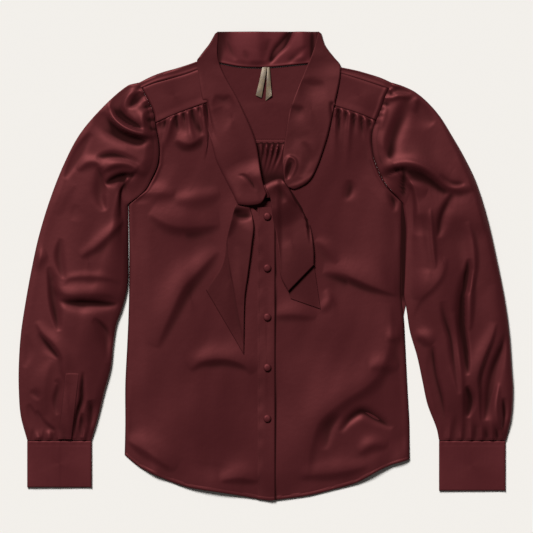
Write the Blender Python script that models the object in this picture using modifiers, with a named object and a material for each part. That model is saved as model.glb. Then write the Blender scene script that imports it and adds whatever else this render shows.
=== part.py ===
"""Satin blouse with a half-knotted neck tie, lying flat on its back.

+Z is up from the surface it lies on, +Y runs towards the neck, and +X towards the wearer's left sleeve.
The origin is under the middle of the whole outline. Sizes below are millimetres.
"""
import math

import bmesh
import bpy
import numpy as np

MM = 0.001

# Cloth and clearances
CLOTH = 1.2
BAND_CLOTH = 1.5
SEAM_GAP = 0.3
ARMHOLE_GAP = 0.8
LAYER_GAP = 0.7
FOLD_GAP = 1.7
FRONT_BASE = CLOTH + LAYER_GAP

# Lengths of the whole outline, on which the edge curves below are laid out
TOP_Y = 363.0
BACK_YOKE_SEAM_Y = 192.0
CUFF_SEAM_Y = -270.0

# Edge curves, (x, y) in order
SIDE_RIGHT = [(-219, -293), (-218, -246), (-218, -184), (-215, -122), (-213, -76), (-212, -29), (-212, 40),
              (-213, 96)]
ARMHOLE_RIGHT = [(-213, 96), (-188, 117), (-177, 136), (-168, 157), (-166, 184), (-172, 222), (-175, 239),
                 (-184, 259), (-193, 276), (-197, 284)]
SIDE_LEFT = [(222, -300), (222, -246), (219, -189), (216, -130), (214, -81), (210, -48), (209, 25), (211, 99)]
ARMHOLE_LEFT = [(211, 99), (189, 122), (177, 141), (168, 164), (164, 191), (165, 208), (171, 226), (179, 245),
                (184, 261), (191, 276), (195, 284)]
HEM = [(-219, -293), (-195, -312), (-158, -330), (-121, -343), (-84, -349), (-46, -355), (-12, -361),
       (6, -363), (28, -361), (65, -356), (102, -347), (140, -336), (177, -316), (195, -308), (222, -300)]
SHOULDER_RIGHT = [(-197, 284), (-177, 294), (-158, 301), (-140, 306), (-121, 312), (-107, 317)]
SHOULDER_LEFT = [(116, 308), (140, 303), (158, 298), (177, 292), (195, 284)]
BACK_NECK = [(-107, 317), (-90, 316), (-74, 315), (-40, 309), (0, 308), (46, 312), (81, 315), (98, 313),
             (116, 308)]
SHOULDER_SEAM_RIGHT = [(-193, 276), (-174, 284), (-149, 291), (-124, 298), (-102, 306)]
SHOULDER_SEAM_LEFT = [(107, 302), (136, 293), (161, 285), (191, 275)]
YOKE_SEAM_RIGHT = [(-172, 222), (-147, 233), (-122, 243), (-91, 254)]
YOKE_SEAM_LEFT = [(98, 251), (122, 244), (146, 236), (171, 226)]
FRONT_NECK_RIGHT = [(-91, 254), (-76, 183), (-67, 157), (-46, 121), (-29, 98), (-12, 82)]
FRONT_NECK_LEFT = [(98, 251), (84, 188), (62, 141), (37, 117), (14, 97), (-10, 82)]
SLEEVE_OUTER_RIGHT = [(-198, 284), (-215, 279), (-251, 248), (-288, 205), (-313, 158), (-335, 102),
                      (-352, 46), (-364, -9), (-374, -65), (-380, -107), (-383, -153), (-383, -192),
                      (-380, -232), (-370, -270)]
SLEEVE_INNER_RIGHT = [(-214, 96), (-213.5, 40), (-214, -29), (-222, -65), (-231, -90), (-236, -121),
                      (-240, -158), (-250, -195), (-259, -232), (-270, -270)]
SLEEVE_OUTER_LEFT = [(196, 284), (214, 278), (232, 269), (251, 253), (270, 231), (288, 202), (307, 169),
                     (326, 129), (344, 71), (358, 9), (369, -46), (377, -102), (381, -158), (383, -195),
                     (380, -236), (372, -270)]
SLEEVE_INNER_LEFT = [(212, 98), (211, 25), (211.5, -48), (216, -67), (223, -102), (234, -140), (242, -177),
                     (250, -214), (264, -251), (268, -270)]

# Neck tie, (x, y): edges of the bands from the shoulder fold down to the knot, and of the hanging ends
COLLAR_ENDS = (-74, 81)
BAND_OUTER_RIGHT = [(-79, 360), (-88, 344), (-95, 335), (-102.5, 325), (-107, 317), (-98, 251), (-82, 180),
                    (-76, 160), (-53, 115), (-43, 94)]
BAND_INNER_RIGHT = [(-74, 363), (-73, 316), (-40, 250), (-17, 195), (-6, 133), (1, 111)]
BAND_OUTER_LEFT = [(86, 360), (91, 344), (98, 333), (106, 323), (116, 308), (104, 242), (91, 188), (68, 133),
                   (45, 119), (34, 122)]
BAND_INNER_LEFT = [(81, 363), (72, 330), (59, 300), (37, 242), (28, 188), (25, 157), (28, 137)]
END_RIGHT_LEFT_EDGE = [(-47, 95), (-59, 48), (-68, 2), (-93, -37)]
END_RIGHT_RIGHT_EDGE = [(-25, 93), (-19, 64), (-22, 33), (-28, -14), (-33, -53), (-34, -138)]
END_RIGHT_RIDGE = [(-54, 80), (-57, 25), (-51, -14), (-40, -68), (-34, -122)]
END_LEFT_LEFT_EDGE = [(0, 129), (7, 108), (10, 79), (16, 45), (20, 17), (23, -17), (34, -38)]
END_LEFT_RIGHT_EDGE = [(26, 134), (53, 95), (68, 64), (74, 25), (74, 3)]
END_LEFT_TIP = [(38, -50), (84, -66)]
KNOT_CENTRE = (-3, 112)
KNOT_HALF_SIZE = (26, 14, 2.3)
KNOT_RISE = 5.8
KNOT_RISE_REACH = (82, 58)
KNOT_RISE_FLAT = 0.42
LEFT_BAND_KNOT_SHARE = 0.3
BAND_FOLD_Y = 342
BAND_FOLD_RUN = 20
END_CURL = 2.2

# Front opening
BAND_LEFT_X = -13.0
BAND_RIGHT_X = 14.0
BAND_TOP_Y = 91.0
FRONTS_MEET_X = -11.5
BUTTON_X = 2.0
BUTTON_YS = (77, -3, -79, -157, -236)
BUTTON_DIAMETER = 12.0
BUTTON_HEIGHT = 4.0

# Cuffs: left edge, right edge and lower edge, and where the right one's ends overlap on top
CUFF_RIGHT = (-370, -270, -343)
CUFF_LEFT = (268, 371, -348)
CUFF_OVERLAP_X = -320.0
CUFF_OVERLAP = 15.0
CUFF_HEIGHT = 4.2

# Ribbon legs: top x, top width, bottom x, bottom width, bottom y
RIBBON_LEGS = [(-1.6, 7.0, -11.5, 9.0, 260.5), (3.9, 3.2, 4.2, 9.6, 256.0)]
RIBBON_CLOTH = 1.0
RIBBON_TOP_Y = 307.0

# Folds: path, height, width to the left of the path's direction, width to its right
FRONT_FOLDS = [
    ([(-84, 20), (-130, -37), (-157, -87), (-186, -128)], 4.0, 13, 30),
    ([(-184, 84), (-150, 62), (-104, 52)], 2.6, 30, 18),
    ([(-120, -170), (-92, -152), (-50, -143), (-24, -160)], 2.6, 26, 13),
    ([(-212, -274), (-165, -288), (-125, -316)], 3.2, 24, 14),
    ([(100, -12), (144, -30), (198, -46)], 2.8, 24, 14),
    ([(166, -60), (152, -156), (122, -186), (48, -240), (40, -290)], 3.4, 22, 26),
    ([(112, -236), (128, -208), (148, -197), (172, -207), (212, -236)], 4.0, 24, 13),
    ([(30, -308), (118, -308), (186, -284)], 2.8, 22, 16),
]
SLEEVE_FOLDS_RIGHT = [
    ([(-226, 266), (-237, 244), (-230, 222), (-212, 208), (-180, 205)], 6.0, 14, 12),
    ([(-262, 148), (-240, 158), (-220, 157), (-205, 150), (-193, 138)], 6.5, 16, 9),
    ([(-218, 64), (-240, 38), (-274, 12)], 3.2, 14, 22),
    ([(-312, -35), (-280, -33), (-225, -37)], 6.0, 20, 10),
    ([(-334, 0), (-330, -36), (-324, -85)], 3.0, 16, 12),
    ([(-356, -92), (-338, -120), (-322, -134), (-314, -160), (-316, -185)], 5.0, 16, 14),
    ([(-264, -78), (-250, -100), (-243, -140)], 3.0, 12, 14),
]
SLEEVE_FOLDS_LEFT = [
    ([(222, 262), (205, 238), (196, 200), (200, 168)], -3.4, 14, 12),
    ([(190, 134), (211, 148), (234, 153), (256, 147), (272, 134), (292, 118)], 7.0, 18, 10),
    ([(280, 100), (275, 62), (268, 30)], 3.0, 16, 14),
    ([(282, 6), (274, -22), (250, -48), (236, -86)], 5.0, 13, 16),
    ([(306, -16), (306, -64), (310, -140)], 5.0, 10, 14),
    ([(262, -120), (260, -156), (268, -200), (276, -246)], 4.2, 11, 14),
    ([(338, -140), (326, -172), (330, -226)], 4.0, 14, 14),
]
# Gathers: how many waves a seam has, their height and how far they run into the cloth
FRONT_GATHERS = 10
FRONT_GATHER_HEIGHT = 2.0
FRONT_GATHER_RUN = 55.0
CAP_GATHERS = 7
CAP_GATHER_HEIGHT = 2.4
CAP_GATHER_RUN = 32.0
CAP_CROWDING = 1.6
CAP_REACH = 0.36
UNDERARM_TURN = 16.0
UNDERARM_WAY = (0.64, 0.77)
UNDERARM_WIDTH = 0.4
UNDERARM_START = 0.025
UNDERARM_END = 0.35
CUFF_GATHERS = 12
CUFF_GATHER_HEIGHT = 3.0
CUFF_GATHER_RUN = 70.0
BACK_GATHERS = 7
BACK_GATHER_HEIGHT = 1.6
BACK_GATHER_RUN = 60.0

SATIN = (0.090, 0.016, 0.020)
RIBBON_GOLD = (0.210, 0.150, 0.055)


def smooth_curve(points, per_span=20):
    """Dense points on a curve that passes through all the given points."""
    pts = np.array(points, dtype=float)
    ends = np.vstack([2 * pts[0] - pts[1], pts, 2 * pts[-1] - pts[-2]])
    out = []
    for i in range(1, len(ends) - 2):
        p0, p1, p2, p3 = ends[i - 1:i + 3]
        span = np.linalg.norm(p2 - p1)
        before = (p2 - p0) * span / (span + np.linalg.norm(p1 - p0))
        after = (p3 - p1) * span / (span + np.linalg.norm(p3 - p2))
        t = np.linspace(0, 1, per_span, endpoint=False)[:, None]
        out.append((2 * t**3 - 3 * t**2 + 1) * p1 + (t**3 - 2 * t**2 + t) * before
                   + (3 * t**2 - 2 * t**3) * p2 + (t**3 - t**2) * after)
    out.append(pts[-1:])
    return np.vstack(out)


def chain(*curves):
    """One dense curve from several smooth ones that meet in corners."""
    return np.vstack([smooth_curve(curve) for curve in curves])


def straight(start, end):
    return np.array([start, end], dtype=float)


def lengths(curve):
    steps = np.linalg.norm(np.diff(curve, axis=0), axis=1)
    return np.concatenate([[0.0], np.cumsum(steps)])


def along(curve, fractions):
    """Points at the given fractions of a curve's length."""
    total = lengths(curve)
    want = np.asarray(fractions) * total[-1]
    return np.stack([np.interp(want, total, curve[:, k]) for k in (0, 1)], axis=-1)


def fraction_at_x(curve, xs):
    """Fractions of the length at which a curve that runs towards +X reaches the given x."""
    total = lengths(curve)
    return np.interp(xs, curve[:, 0], total / total[-1])


def patch(start, end, side_0, side_1, us, vs):
    """Grid of (x, y) between four edge curves: us runs from side_0 to side_1, vs from start to end."""
    us = np.broadcast_to(us, (len(vs), np.shape(us)[-1]))
    s, e = along(start, us), along(end, us)
    a, b = along(side_0, vs)[:, None], along(side_1, vs)[:, None]
    u, v = us[..., None], np.asarray(vs)[:, None, None]
    corners = ((1 - u) * (1 - v) * start[0] + u * (1 - v) * start[-1]
               + (1 - u) * v * end[0] + u * v * end[-1])
    return (1 - v) * s + v * e + (1 - u) * a + u * b - corners


def ease(t):
    """Smooth step from 0 to 1."""
    t = np.clip(t, 0.0, 1.0)
    return t * t * (3 - 2 * t)


def round_off(distance, reach):
    """Quarter-round rise from an edge: 0 at the edge, 1 from reach onwards."""
    return np.sqrt(1 - (1 - np.clip(distance / reach, 0.0, 1.0))**2)


def fold_height(x, y, folds):
    """Height that the folds add at each point."""
    total = np.zeros(np.shape(x))
    for path, height, left_width, right_width in folds:
        line = smooth_curve(path, 10)
        run = np.linspace(0, 1, len(line))
        dx = x[..., None] - line[:, 0]
        dy = y[..., None] - line[:, 1]
        nearest = np.argmin(dx * dx + dy * dy, axis=-1)
        tangent = np.gradient(line, axis=0)[nearest]
        gx = np.take_along_axis(dx, nearest[..., None], -1)[..., 0]
        gy = np.take_along_axis(dy, nearest[..., None], -1)[..., 0]
        on_left = tangent[..., 0] * gy - tangent[..., 1] * gx > 0
        width = np.where(on_left, left_width, right_width)
        ends = np.sin(math.pi * np.clip(run[nearest], 0.04, 0.96))**0.7
        total += height * ends * np.exp(-(gx * gx + gy * gy) / width**2)
    return total


def body_edge_distance(x, y):
    """Distance in from the sides and armholes of the body."""
    right = np.array(SIDE_RIGHT + ARMHOLE_RIGHT[1:], dtype=float)
    left = np.array(SIDE_LEFT + ARMHOLE_LEFT[1:], dtype=float)
    from_right = x - np.interp(y, right[:, 1], right[:, 0])
    from_left = np.interp(y, left[:, 1], left[:, 0]) - x
    return np.clip(np.minimum(from_right, from_left), 0, None)


def front_under(x, y):
    """Underside of the front layer: it lies on the back and lifts a little inside its edges."""
    hem = np.array(HEM, dtype=float)
    shoulder = np.array(SHOULDER_RIGHT + SHOULDER_LEFT, dtype=float)
    in_from_side = body_edge_distance(x, y)
    above_hem = np.clip(y - np.interp(x, hem[:, 0], hem[:, 1]), 0, None)
    below_shoulder = np.clip(np.interp(x, shoulder[:, 0], shoulder[:, 1]) - y, 0, None)
    lift = 2.0 * ease(in_from_side / 34) * (0.2 + 0.8 * ease(above_hem / 45)) * ease(below_shoulder / 60)
    folds = fold_height(x, y, FRONT_FOLDS) * ease(in_from_side / 16) * (0.35 + 0.65 * ease(above_hem / 24))
    return FRONT_BASE + lift + folds


def over_front(x, y, layers=1):
    """Underside of something that lies on the front layer, or on one more cloth on top of it."""
    step = 1.0
    slope_x = (front_under(x + step, y) - front_under(x - step, y)) / (2 * step)
    slope_y = (front_under(x, y + step) - front_under(x, y - step)) / (2 * step)
    stretch = np.sqrt(1 + slope_x**2 + slope_y**2)
    return front_under(x, y) + layers * (CLOTH + SEAM_GAP) * stretch


def knot_rise(x, y):
    """How much higher the tie lies where it passes over the hidden layers of the knot."""
    reach = np.hypot((x - KNOT_CENTRE[0]) / KNOT_RISE_REACH[0], (y - KNOT_CENTRE[1]) / KNOT_RISE_REACH[1])
    return KNOT_RISE * (1 - ease((reach - KNOT_RISE_FLAT) / (1 - KNOT_RISE_FLAT)))


def zigzag(count):
    """Alternate crest and trough for neighbouring columns, uneven like hand gathers."""
    steps = np.arange(count)
    return np.where(steps % 2 == 0, 0.0, 0.75 + 0.25 * np.sin(steps * 2.3))


def material(name, color, roughness):
    made = bpy.data.materials.new(name)
    made.use_nodes = True
    shader = made.node_tree.nodes["Principled BSDF"]
    shader.inputs["Base Color"].default_value = (*color, 1.0)
    shader.inputs["Roughness"].default_value = roughness
    return made


def place(name, mesh, collection, finish):
    part = bpy.data.objects.new(name, mesh)
    collection.objects.link(part)
    mesh.materials.append(material(name, *finish))
    return part


def cloth(name, grid, collection, thickness=CLOTH, closed=False, outward=1.0, missing=None):
    """Cloth of the given thickness on a grid of points (rows, columns, xyz).

    closed joins the last column to the first. outward is 1 where the points are the lower face and the wall
    grows along the normals, and -1 where they are the outer face. missing marks points that have no cloth.
    """
    rows, columns = grid.shape[:2]
    mesh = bpy.data.meshes.new(name)
    bm = bmesh.new()
    verts = {}
    for r in range(rows):
        for c in range(columns):
            if missing is None or not missing[r, c]:
                verts[r, c] = bm.verts.new(grid[r, c] * MM)
    for r in range(rows - 1):
        for c in range(columns if closed else columns - 1):
            d = (c + 1) % columns
            corners = [(r, c), (r, d), (r + 1, d), (r + 1, c)]
            if all(corner in verts for corner in corners):
                bm.faces.new([verts[corner] for corner in corners])
    for vert in [v for v in bm.verts if not v.link_faces]:
        bm.verts.remove(vert)
    bm.to_mesh(mesh)
    bm.free()
    mesh.shade_smooth()
    part = place(name, mesh, collection, (SATIN, 0.42))
    wall = part.modifiers.new("Wall", "SOLIDIFY")
    wall.thickness = thickness * MM
    wall.offset = outward
    wall.use_even_offset = False
    return part


def lay(points, height):
    """Grid of (x, y) with a height function added."""
    x, y = points[..., 0], points[..., 1]
    return np.dstack([x, y, height(x, y)])


def make_back(collection):
    bottom = smooth_curve([(x * 0.998, y + 0.8) for x, y in HEM])
    top = straight((-165.4, BACK_YOKE_SEAM_Y - SEAM_GAP), (163.6, BACK_YOKE_SEAM_Y - SEAM_GAP))
    armhole_right = [p for p in ARMHOLE_RIGHT if p[1] < BACK_YOKE_SEAM_Y - 5]
    armhole_left = [p for p in ARMHOLE_LEFT if p[1] < BACK_YOKE_SEAM_Y - 5]
    right = chain(SIDE_RIGHT, armhole_right + [(-165.4, BACK_YOKE_SEAM_Y - SEAM_GAP)])
    left = chain(SIDE_LEFT, armhole_left + [(163.6, BACK_YOKE_SEAM_Y - SEAM_GAP)])
    side_columns = 5
    gathered = np.linspace(0.44, 0.62, 2 * BACK_GATHERS + 1)
    us = np.concatenate([np.linspace(0, 0.36, side_columns), gathered, np.linspace(0.70, 1, side_columns)])
    vs = np.concatenate([np.linspace(0, 0.68, 6), np.linspace(0.76, 1, 8)])
    points = patch(bottom, top, right, left, us, vs)
    waves = np.zeros(len(us))
    waves[side_columns:side_columns + len(gathered)] = zigzag(len(gathered))
    below_seam = BACK_YOKE_SEAM_Y - points[..., 1]
    height = BACK_GATHER_HEIGHT * waves * (1 - ease(below_seam / BACK_GATHER_RUN))
    grid = np.dstack([points, height])
    cloth("back_panel", grid, collection)


def turned_over(edge_top, rows):
    """Outer face of a turn-over: offsets back from the edge and heights, from lower to upper layer."""
    angles = np.linspace(-90, 90, rows) * math.pi / 180
    radius = edge_top / 2
    return [(radius * (1 - math.cos(a)), radius * (1 + math.sin(a))) for a in angles]


def make_back_yoke(collection):
    top = chain(SHOULDER_RIGHT, BACK_NECK[1:-1], SHOULDER_LEFT)
    bottom = straight((-166, BACK_YOKE_SEAM_Y), (164, BACK_YOKE_SEAM_Y))
    armhole_right = [p for p in ARMHOLE_RIGHT if p[1] > BACK_YOKE_SEAM_Y]
    armhole_left = [p for p in ARMHOLE_LEFT if p[1] > BACK_YOKE_SEAM_Y + 3]
    right = smooth_curve([(-166, BACK_YOKE_SEAM_Y)] + armhole_right)
    left = smooth_curve([(164, BACK_YOKE_SEAM_Y)] + armhole_left)
    shoulder_right = np.linspace(-197, -101, 7)
    shoulder_left = np.linspace(112, 195, 7)
    neck = np.linspace(-101, 112, 11)[1:-1]
    us = fraction_at_x(top, np.concatenate([shoulder_right, neck, shoulder_left]))
    flat_rows = np.linspace(0, 1, 6)
    points = patch(bottom, top, right, left, us, flat_rows)
    flat = np.dstack([points, np.zeros(points.shape[:2])])
    seam = np.vstack([along(smooth_curve(SHOULDER_SEAM_RIGHT), np.linspace(0, 1, 7)),
                      np.zeros((len(neck), 2)),
                      along(smooth_curve(SHOULDER_SEAM_LEFT), np.linspace(0, 1, 7))])
    edge = points[-1]
    edge_top = FRONT_BASE + CLOTH
    turn = turned_over(edge_top, 5)
    rows = [flat[:-1]]
    inward = np.array([0.0, -1.0])
    for back, height in turn:
        at = edge + inward * back
        rows.append(np.column_stack([at, np.full(len(at), height)])[None])
    for share in (0.5, 1.0):
        start = edge + inward * turn[-1][0]
        at = start + (seam - start) * share
        z = front_under(at[:, 0], at[:, 1]) + CLOTH
        rows.append(np.column_stack([at, z])[None])
    grid = np.vstack(rows)
    missing = np.zeros(grid.shape[:2], dtype=bool)
    neck_columns = slice(len(shoulder_right), len(shoulder_right) + len(neck))
    first_upper = len(flat_rows)
    missing[first_upper:, neck_columns] = True
    cloth("back_yoke", grid[::-1], collection, outward=-1.0, missing=missing[::-1])


def make_front_yokes(collection):
    neck_right = [(-91, 254), (-98, 282), (-102, 306)]
    neck_left = [(98, 251), (103, 278), (107, 302)]
    sides = (("right", YOKE_SEAM_RIGHT, SHOULDER_SEAM_RIGHT, ARMHOLE_RIGHT, neck_right),
             ("left", YOKE_SEAM_LEFT, SHOULDER_SEAM_LEFT, ARMHOLE_LEFT, neck_left))
    for side, yoke_seam, shoulder_seam, armhole, neck in sides:
        step = np.array([0.0, SEAM_GAP])
        bottom = smooth_curve(yoke_seam) + step
        top = smooth_curve(shoulder_seam) - step
        outer = smooth_curve([p for p in armhole if 215 < p[1] < 280]) + step
        inner = smooth_curve(neck)
        outer[0], outer[-1] = (bottom[0], top[0]) if side == "right" else (bottom[-1], top[-1])
        inner[0], inner[-1] = (bottom[-1], top[-1]) if side == "right" else (bottom[0], top[0])
        first, last = (outer, inner) if side == "right" else (inner, outer)
        points = patch(bottom, top, first, last, np.linspace(0, 1, 8), np.linspace(0, 1, 6))
        cloth("front_yoke_" + side, lay(points, front_under), collection)


def gathered_front(points, seam_columns, from_left):
    """Height of a front panel with gathers under its yoke seam, which the first or last columns reach."""
    x, y = points[..., 0], points[..., 1]
    waves = np.zeros(points.shape[1])
    waves[1:seam_columns - 3] = zigzag(seam_columns - 3)[1:]
    if from_left:
        waves = waves[::-1]
    seam_y = points[-1, :, 1]
    height = FRONT_GATHER_HEIGHT * waves * (1 - ease((seam_y - y) / FRONT_GATHER_RUN))
    return front_under(x, y) + height


def make_fronts(collection):
    rows = np.concatenate([np.linspace(0, 0.74, 13), np.linspace(0.785, 1, 7)])
    seam_columns = 2 * FRONT_GATHERS
    seam = np.linspace(0, 0.36, seam_columns + 1)
    neck = np.linspace(0.36, 1, 8)[1:]
    us = np.concatenate([seam, neck])
    hem = smooth_curve(HEM)
    meet = fraction_at_x(hem, [FRONTS_MEET_X])[0]
    right_hem = along(hem, np.linspace(0, meet, 80))
    left_hem = along(hem, np.linspace(meet, 1, 80)) + (SEAM_GAP, 0)
    right_side = chain(SIDE_RIGHT, [p for p in ARMHOLE_RIGHT if p[1] < 230])
    left_side = chain(SIDE_LEFT, [p for p in ARMHOLE_LEFT if p[1] < 230])
    right_top = chain(YOKE_SEAM_RIGHT, FRONT_NECK_RIGHT)
    left_top = chain(FRONT_NECK_LEFT[::-1], YOKE_SEAM_LEFT)
    right_centre = straight(right_hem[-1], right_top[-1])
    left_centre = straight(left_hem[0], left_top[0])
    split = lengths(smooth_curve(YOKE_SEAM_RIGHT))[-1] / lengths(right_top)[-1]
    top_us = np.interp(us, [0, 0.36, 1], [0, split, 1])
    points = stretched_patch(right_hem, right_top, right_side, right_centre, us, top_us, rows)
    grid = np.dstack([points, gathered_front(points, seam_columns, False)])
    cloth("front_right", grid, collection)
    split = lengths(smooth_curve(YOKE_SEAM_LEFT))[-1] / lengths(left_top)[-1]
    top_us = 1 - np.interp(us, [0, 0.36, 1], [0, split, 1])[::-1]
    points = stretched_patch(left_hem, left_top, left_centre, left_side, 1 - us[::-1], top_us, rows)
    grid = np.dstack([points, gathered_front(points, seam_columns, True)])
    cloth("front_left", grid, collection)


def stretched_patch(start, end, side_0, side_1, us, end_us, vs):
    """A patch whose columns meet the end curve at fractions of their own."""
    line = along(end, end_us)
    dense = np.linspace(0, 1, 400)
    remapped = np.stack([np.interp(dense, us, line[:, k]) for k in (0, 1)], axis=-1)
    s, e = along(start, us), line
    a, b = along(side_0, vs)[:, None], along(side_1, vs)[:, None]
    u, v = us[None, :, None], np.asarray(vs)[:, None, None]
    corners = ((1 - u) * (1 - v) * start[0] + u * (1 - v) * start[-1]
               + (1 - u) * v * remapped[0] + u * v * remapped[-1])
    return (1 - v) * s + v * e + (1 - u) * a + u * b - corners


def make_button_band(collection):
    ys = np.linspace(0, 1, 26)
    hem_y = np.array(HEM, dtype=float)
    xs = np.linspace(BAND_LEFT_X, BAND_RIGHT_X, 4)
    low = np.interp(xs, hem_y[:, 0], hem_y[:, 1])
    grid = np.zeros((len(ys), len(xs), 3))
    grid[..., 0] = xs
    grid[..., 1] = low + (BAND_TOP_Y - low) * ys[:, None]
    grid[..., 2] = over_front(grid[..., 0], grid[..., 1])
    cloth("button_band", grid, collection)


def make_buttons(collection):
    for number, y in enumerate(BUTTON_YS, start=1):
        seat = float(over_front(np.array([BUTTON_X]), np.array([float(y)]), layers=2)[0]) + 0.15
        bm = bmesh.new()
        bmesh.ops.create_cone(bm, cap_ends=True, segments=14, radius1=BUTTON_DIAMETER / 2 * MM,
                              radius2=BUTTON_DIAMETER / 2 * MM, depth=BUTTON_HEIGHT * MM)
        bmesh.ops.translate(bm, verts=bm.verts, vec=(BUTTON_X * MM, y * MM, (seat + BUTTON_HEIGHT / 2) * MM))
        mesh = bpy.data.meshes.new("button_%d" % number)
        bm.to_mesh(mesh)
        bm.free()
        mesh.shade_smooth()
        part = place("button_%d" % number, mesh, collection, (SATIN, 0.38))
        edge = part.modifiers.new("Rounded", "BEVEL")
        edge.width = 1.4 * MM
        edge.segments = 1


def sleeve_points(outer, inner, armhole, us, rows):
    """Points across a sleeve: the first row follows the armhole, and the rows below soon run straight."""
    a, b = along(outer, rows)[:, None], along(inner, rows)[:, None]
    u = us[..., None]
    ruled = (1 - u) * a + u * b
    bulge = along(armhole, us[:1] ** CAP_CROWDING) - ruled[:1]
    reach = CAP_REACH * (1 - u) + 0.01
    run = rows[:, None, None]
    points = ruled + bulge * np.clip(1 - run / reach, 0, 1)**2
    near_underarm = np.sin(math.pi * np.sqrt(np.clip((1 - u) / UNDERARM_WIDTH, 0, 1)))
    near_cap = ease(run / UNDERARM_START) * (1 - ease(run / UNDERARM_END))
    away = np.array([UNDERARM_WAY[0] * np.sign(outer[0, 0]), UNDERARM_WAY[1]])
    return points + UNDERARM_TURN * near_underarm * near_cap * away


def sleeve_ring(outer, inner, armhole, rows, folds, mirrored):
    """Outer face of a sleeve lying flat: rings across it from the armhole to the cuff."""
    across = np.linalg.norm(along(outer, rows) - along(inner, rows), axis=1)[:, None]
    top = np.linspace(0, 1, 2 * CUFF_GATHERS + 1)
    top = np.broadcast_to(top, (len(rows), len(top)))
    brim = 3.0 / across
    top = brim + top * (1 - 2 * brim)
    edge_0 = np.zeros((len(rows), 1))
    under = np.linspace(1, 0, 8)
    foot = 2.2 / across
    bottom = foot + under[None] * (1 - 2 * foot)
    us = np.hstack([edge_0, top, edge_0 + 1, bottom])
    points = sleeve_points(outer, inner, armhole, us, rows)
    x, y = points[..., 0], points[..., 1]
    from_edge = np.minimum(us, 1 - us) * across
    run = rows[:, None]
    puff = 2.0 + 5.0 * ease(run / 0.25) * ease((1 - run) / 0.22)
    height = 3.5 + puff * round_off(from_edge, 60) + fold_height(x, y, folds) * ease(from_edge / 18)
    columns = np.arange(us.shape[1])
    waves = np.zeros(us.shape[1])
    waves[1:2 * CUFF_GATHERS + 2] = zigzag(2 * CUFF_GATHERS + 1)
    reach_cuff = 1 - ease((y - CUFF_SEAM_Y) / CUFF_GATHER_RUN)
    from_cap = np.hypot(x - points[:1, :, 0], y - points[:1, :, 1])
    cap = np.where(columns <= 2 * CAP_GATHERS, waves, 0.0)
    height += CUFF_GATHER_HEIGHT * waves * reach_cuff
    height += CAP_GATHER_HEIGHT * cap * (1 - ease(from_cap / CAP_GATHER_RUN)) * (columns > 0)
    height = np.maximum(height, 3.4)
    z = height.copy()
    count = top.shape[1]
    z[:, 0] = 0.5 * height[:, 1]
    z[:, count + 1] = 0.5 * height[:, count]
    z[:, count + 2:] = 0.0
    grid = np.dstack([points, z])
    return grid if mirrored else grid[:, ::-1]


def make_sleeves(collection):
    rows = np.concatenate([[0, 0.025, 0.06], np.linspace(0.1, 0.62, 11), np.linspace(0.68, 1, 8)])
    out_right = np.array([-ARMHOLE_GAP, 0.0])
    cuff_y = CUFF_SEAM_Y + SEAM_GAP
    outer = smooth_curve(SLEEVE_OUTER_RIGHT)
    inner = smooth_curve(SLEEVE_INNER_RIGHT)
    armhole = smooth_curve(ARMHOLE_RIGHT[::-1]) + out_right
    outer[0], inner[0] = armhole[0], armhole[-1]
    outer[-1, 1] = inner[-1, 1] = cuff_y
    right = sleeve_ring(outer, inner, armhole, rows, SLEEVE_FOLDS_RIGHT, False)
    cloth("sleeve_right", right, collection, closed=True, outward=-1.0)
    outer = smooth_curve(SLEEVE_OUTER_LEFT)
    inner = smooth_curve(SLEEVE_INNER_LEFT)
    armhole = smooth_curve(ARMHOLE_LEFT[::-1]) - out_right
    outer[0], inner[0] = armhole[0], armhole[-1]
    outer[-1, 1] = inner[-1, 1] = cuff_y
    left = sleeve_ring(outer, inner, armhole, rows, SLEEVE_FOLDS_LEFT, True)
    cloth("sleeve_left", left, collection, closed=True, outward=-1.0)
    return right[:, ::-1]


def make_sleeve_strip(collection, sleeve):
    """Narrow strip at the sleeve's opening, on the sleeve's own points, moved out."""
    first, last = 13, 17
    panel = sleeve[-6:, first:last + 1].copy()
    du = np.gradient(panel, axis=1)
    dv = np.gradient(panel, axis=0)
    normal = np.cross(du, dv)
    normal *= np.sign(normal[..., 2:3])
    normal /= np.linalg.norm(normal, axis=-1, keepdims=True)
    panel += normal * (SEAM_GAP + 0.1)
    panel[-1, :, 1] += 0.6
    cloth("sleeve_strip_right", panel[:, ::-1], collection, thickness=1.0)


def make_cuffs(collection):
    low, high, bottom = CUFF_RIGHT
    half = CUFF_HEIGHT / 2
    lap = CLOTH + SEAM_GAP
    lap_top = CUFF_HEIGHT - lap
    profile = [(CUFF_OVERLAP_X, CUFF_HEIGHT), (high - 18, CUFF_HEIGHT), (high - 2.4, CUFF_HEIGHT),
               (high - 0.5, CUFF_HEIGHT - 0.9), (high, half), (high - 0.5, 0.9), (high - 2.4, 0),
               (high - 35, 0), (low + 35, 0), (low + 2.4, 0), (low + 0.5, 0.9), (low, half),
               (low + 0.5, CUFF_HEIGHT - 0.9), (low + 2.4, CUFF_HEIGHT), (CUFF_OVERLAP_X - 8, CUFF_HEIGHT),
               (CUFF_OVERLAP_X - 2, lap_top), (CUFF_OVERLAP_X + CUFF_OVERLAP, lap_top)]
    cuff_wall("cuff_right", profile, bottom, collection, closed=False)
    low, high, bottom = CUFF_LEFT
    profile = [(low + 35, CUFF_HEIGHT), (high - 35, CUFF_HEIGHT), (high - 2.4, CUFF_HEIGHT),
               (high - 0.5, CUFF_HEIGHT - 0.9), (high, half), (high - 0.5, 0.9), (high - 2.4, 0),
               (high - 35, 0), (low + 35, 0), (low + 2.4, 0), (low + 0.5, 0.9), (low, half),
               (low + 0.5, CUFF_HEIGHT - 0.9), (low + 2.4, CUFF_HEIGHT)]
    cuff_wall("cuff_left", profile, bottom, collection, closed=True)


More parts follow.
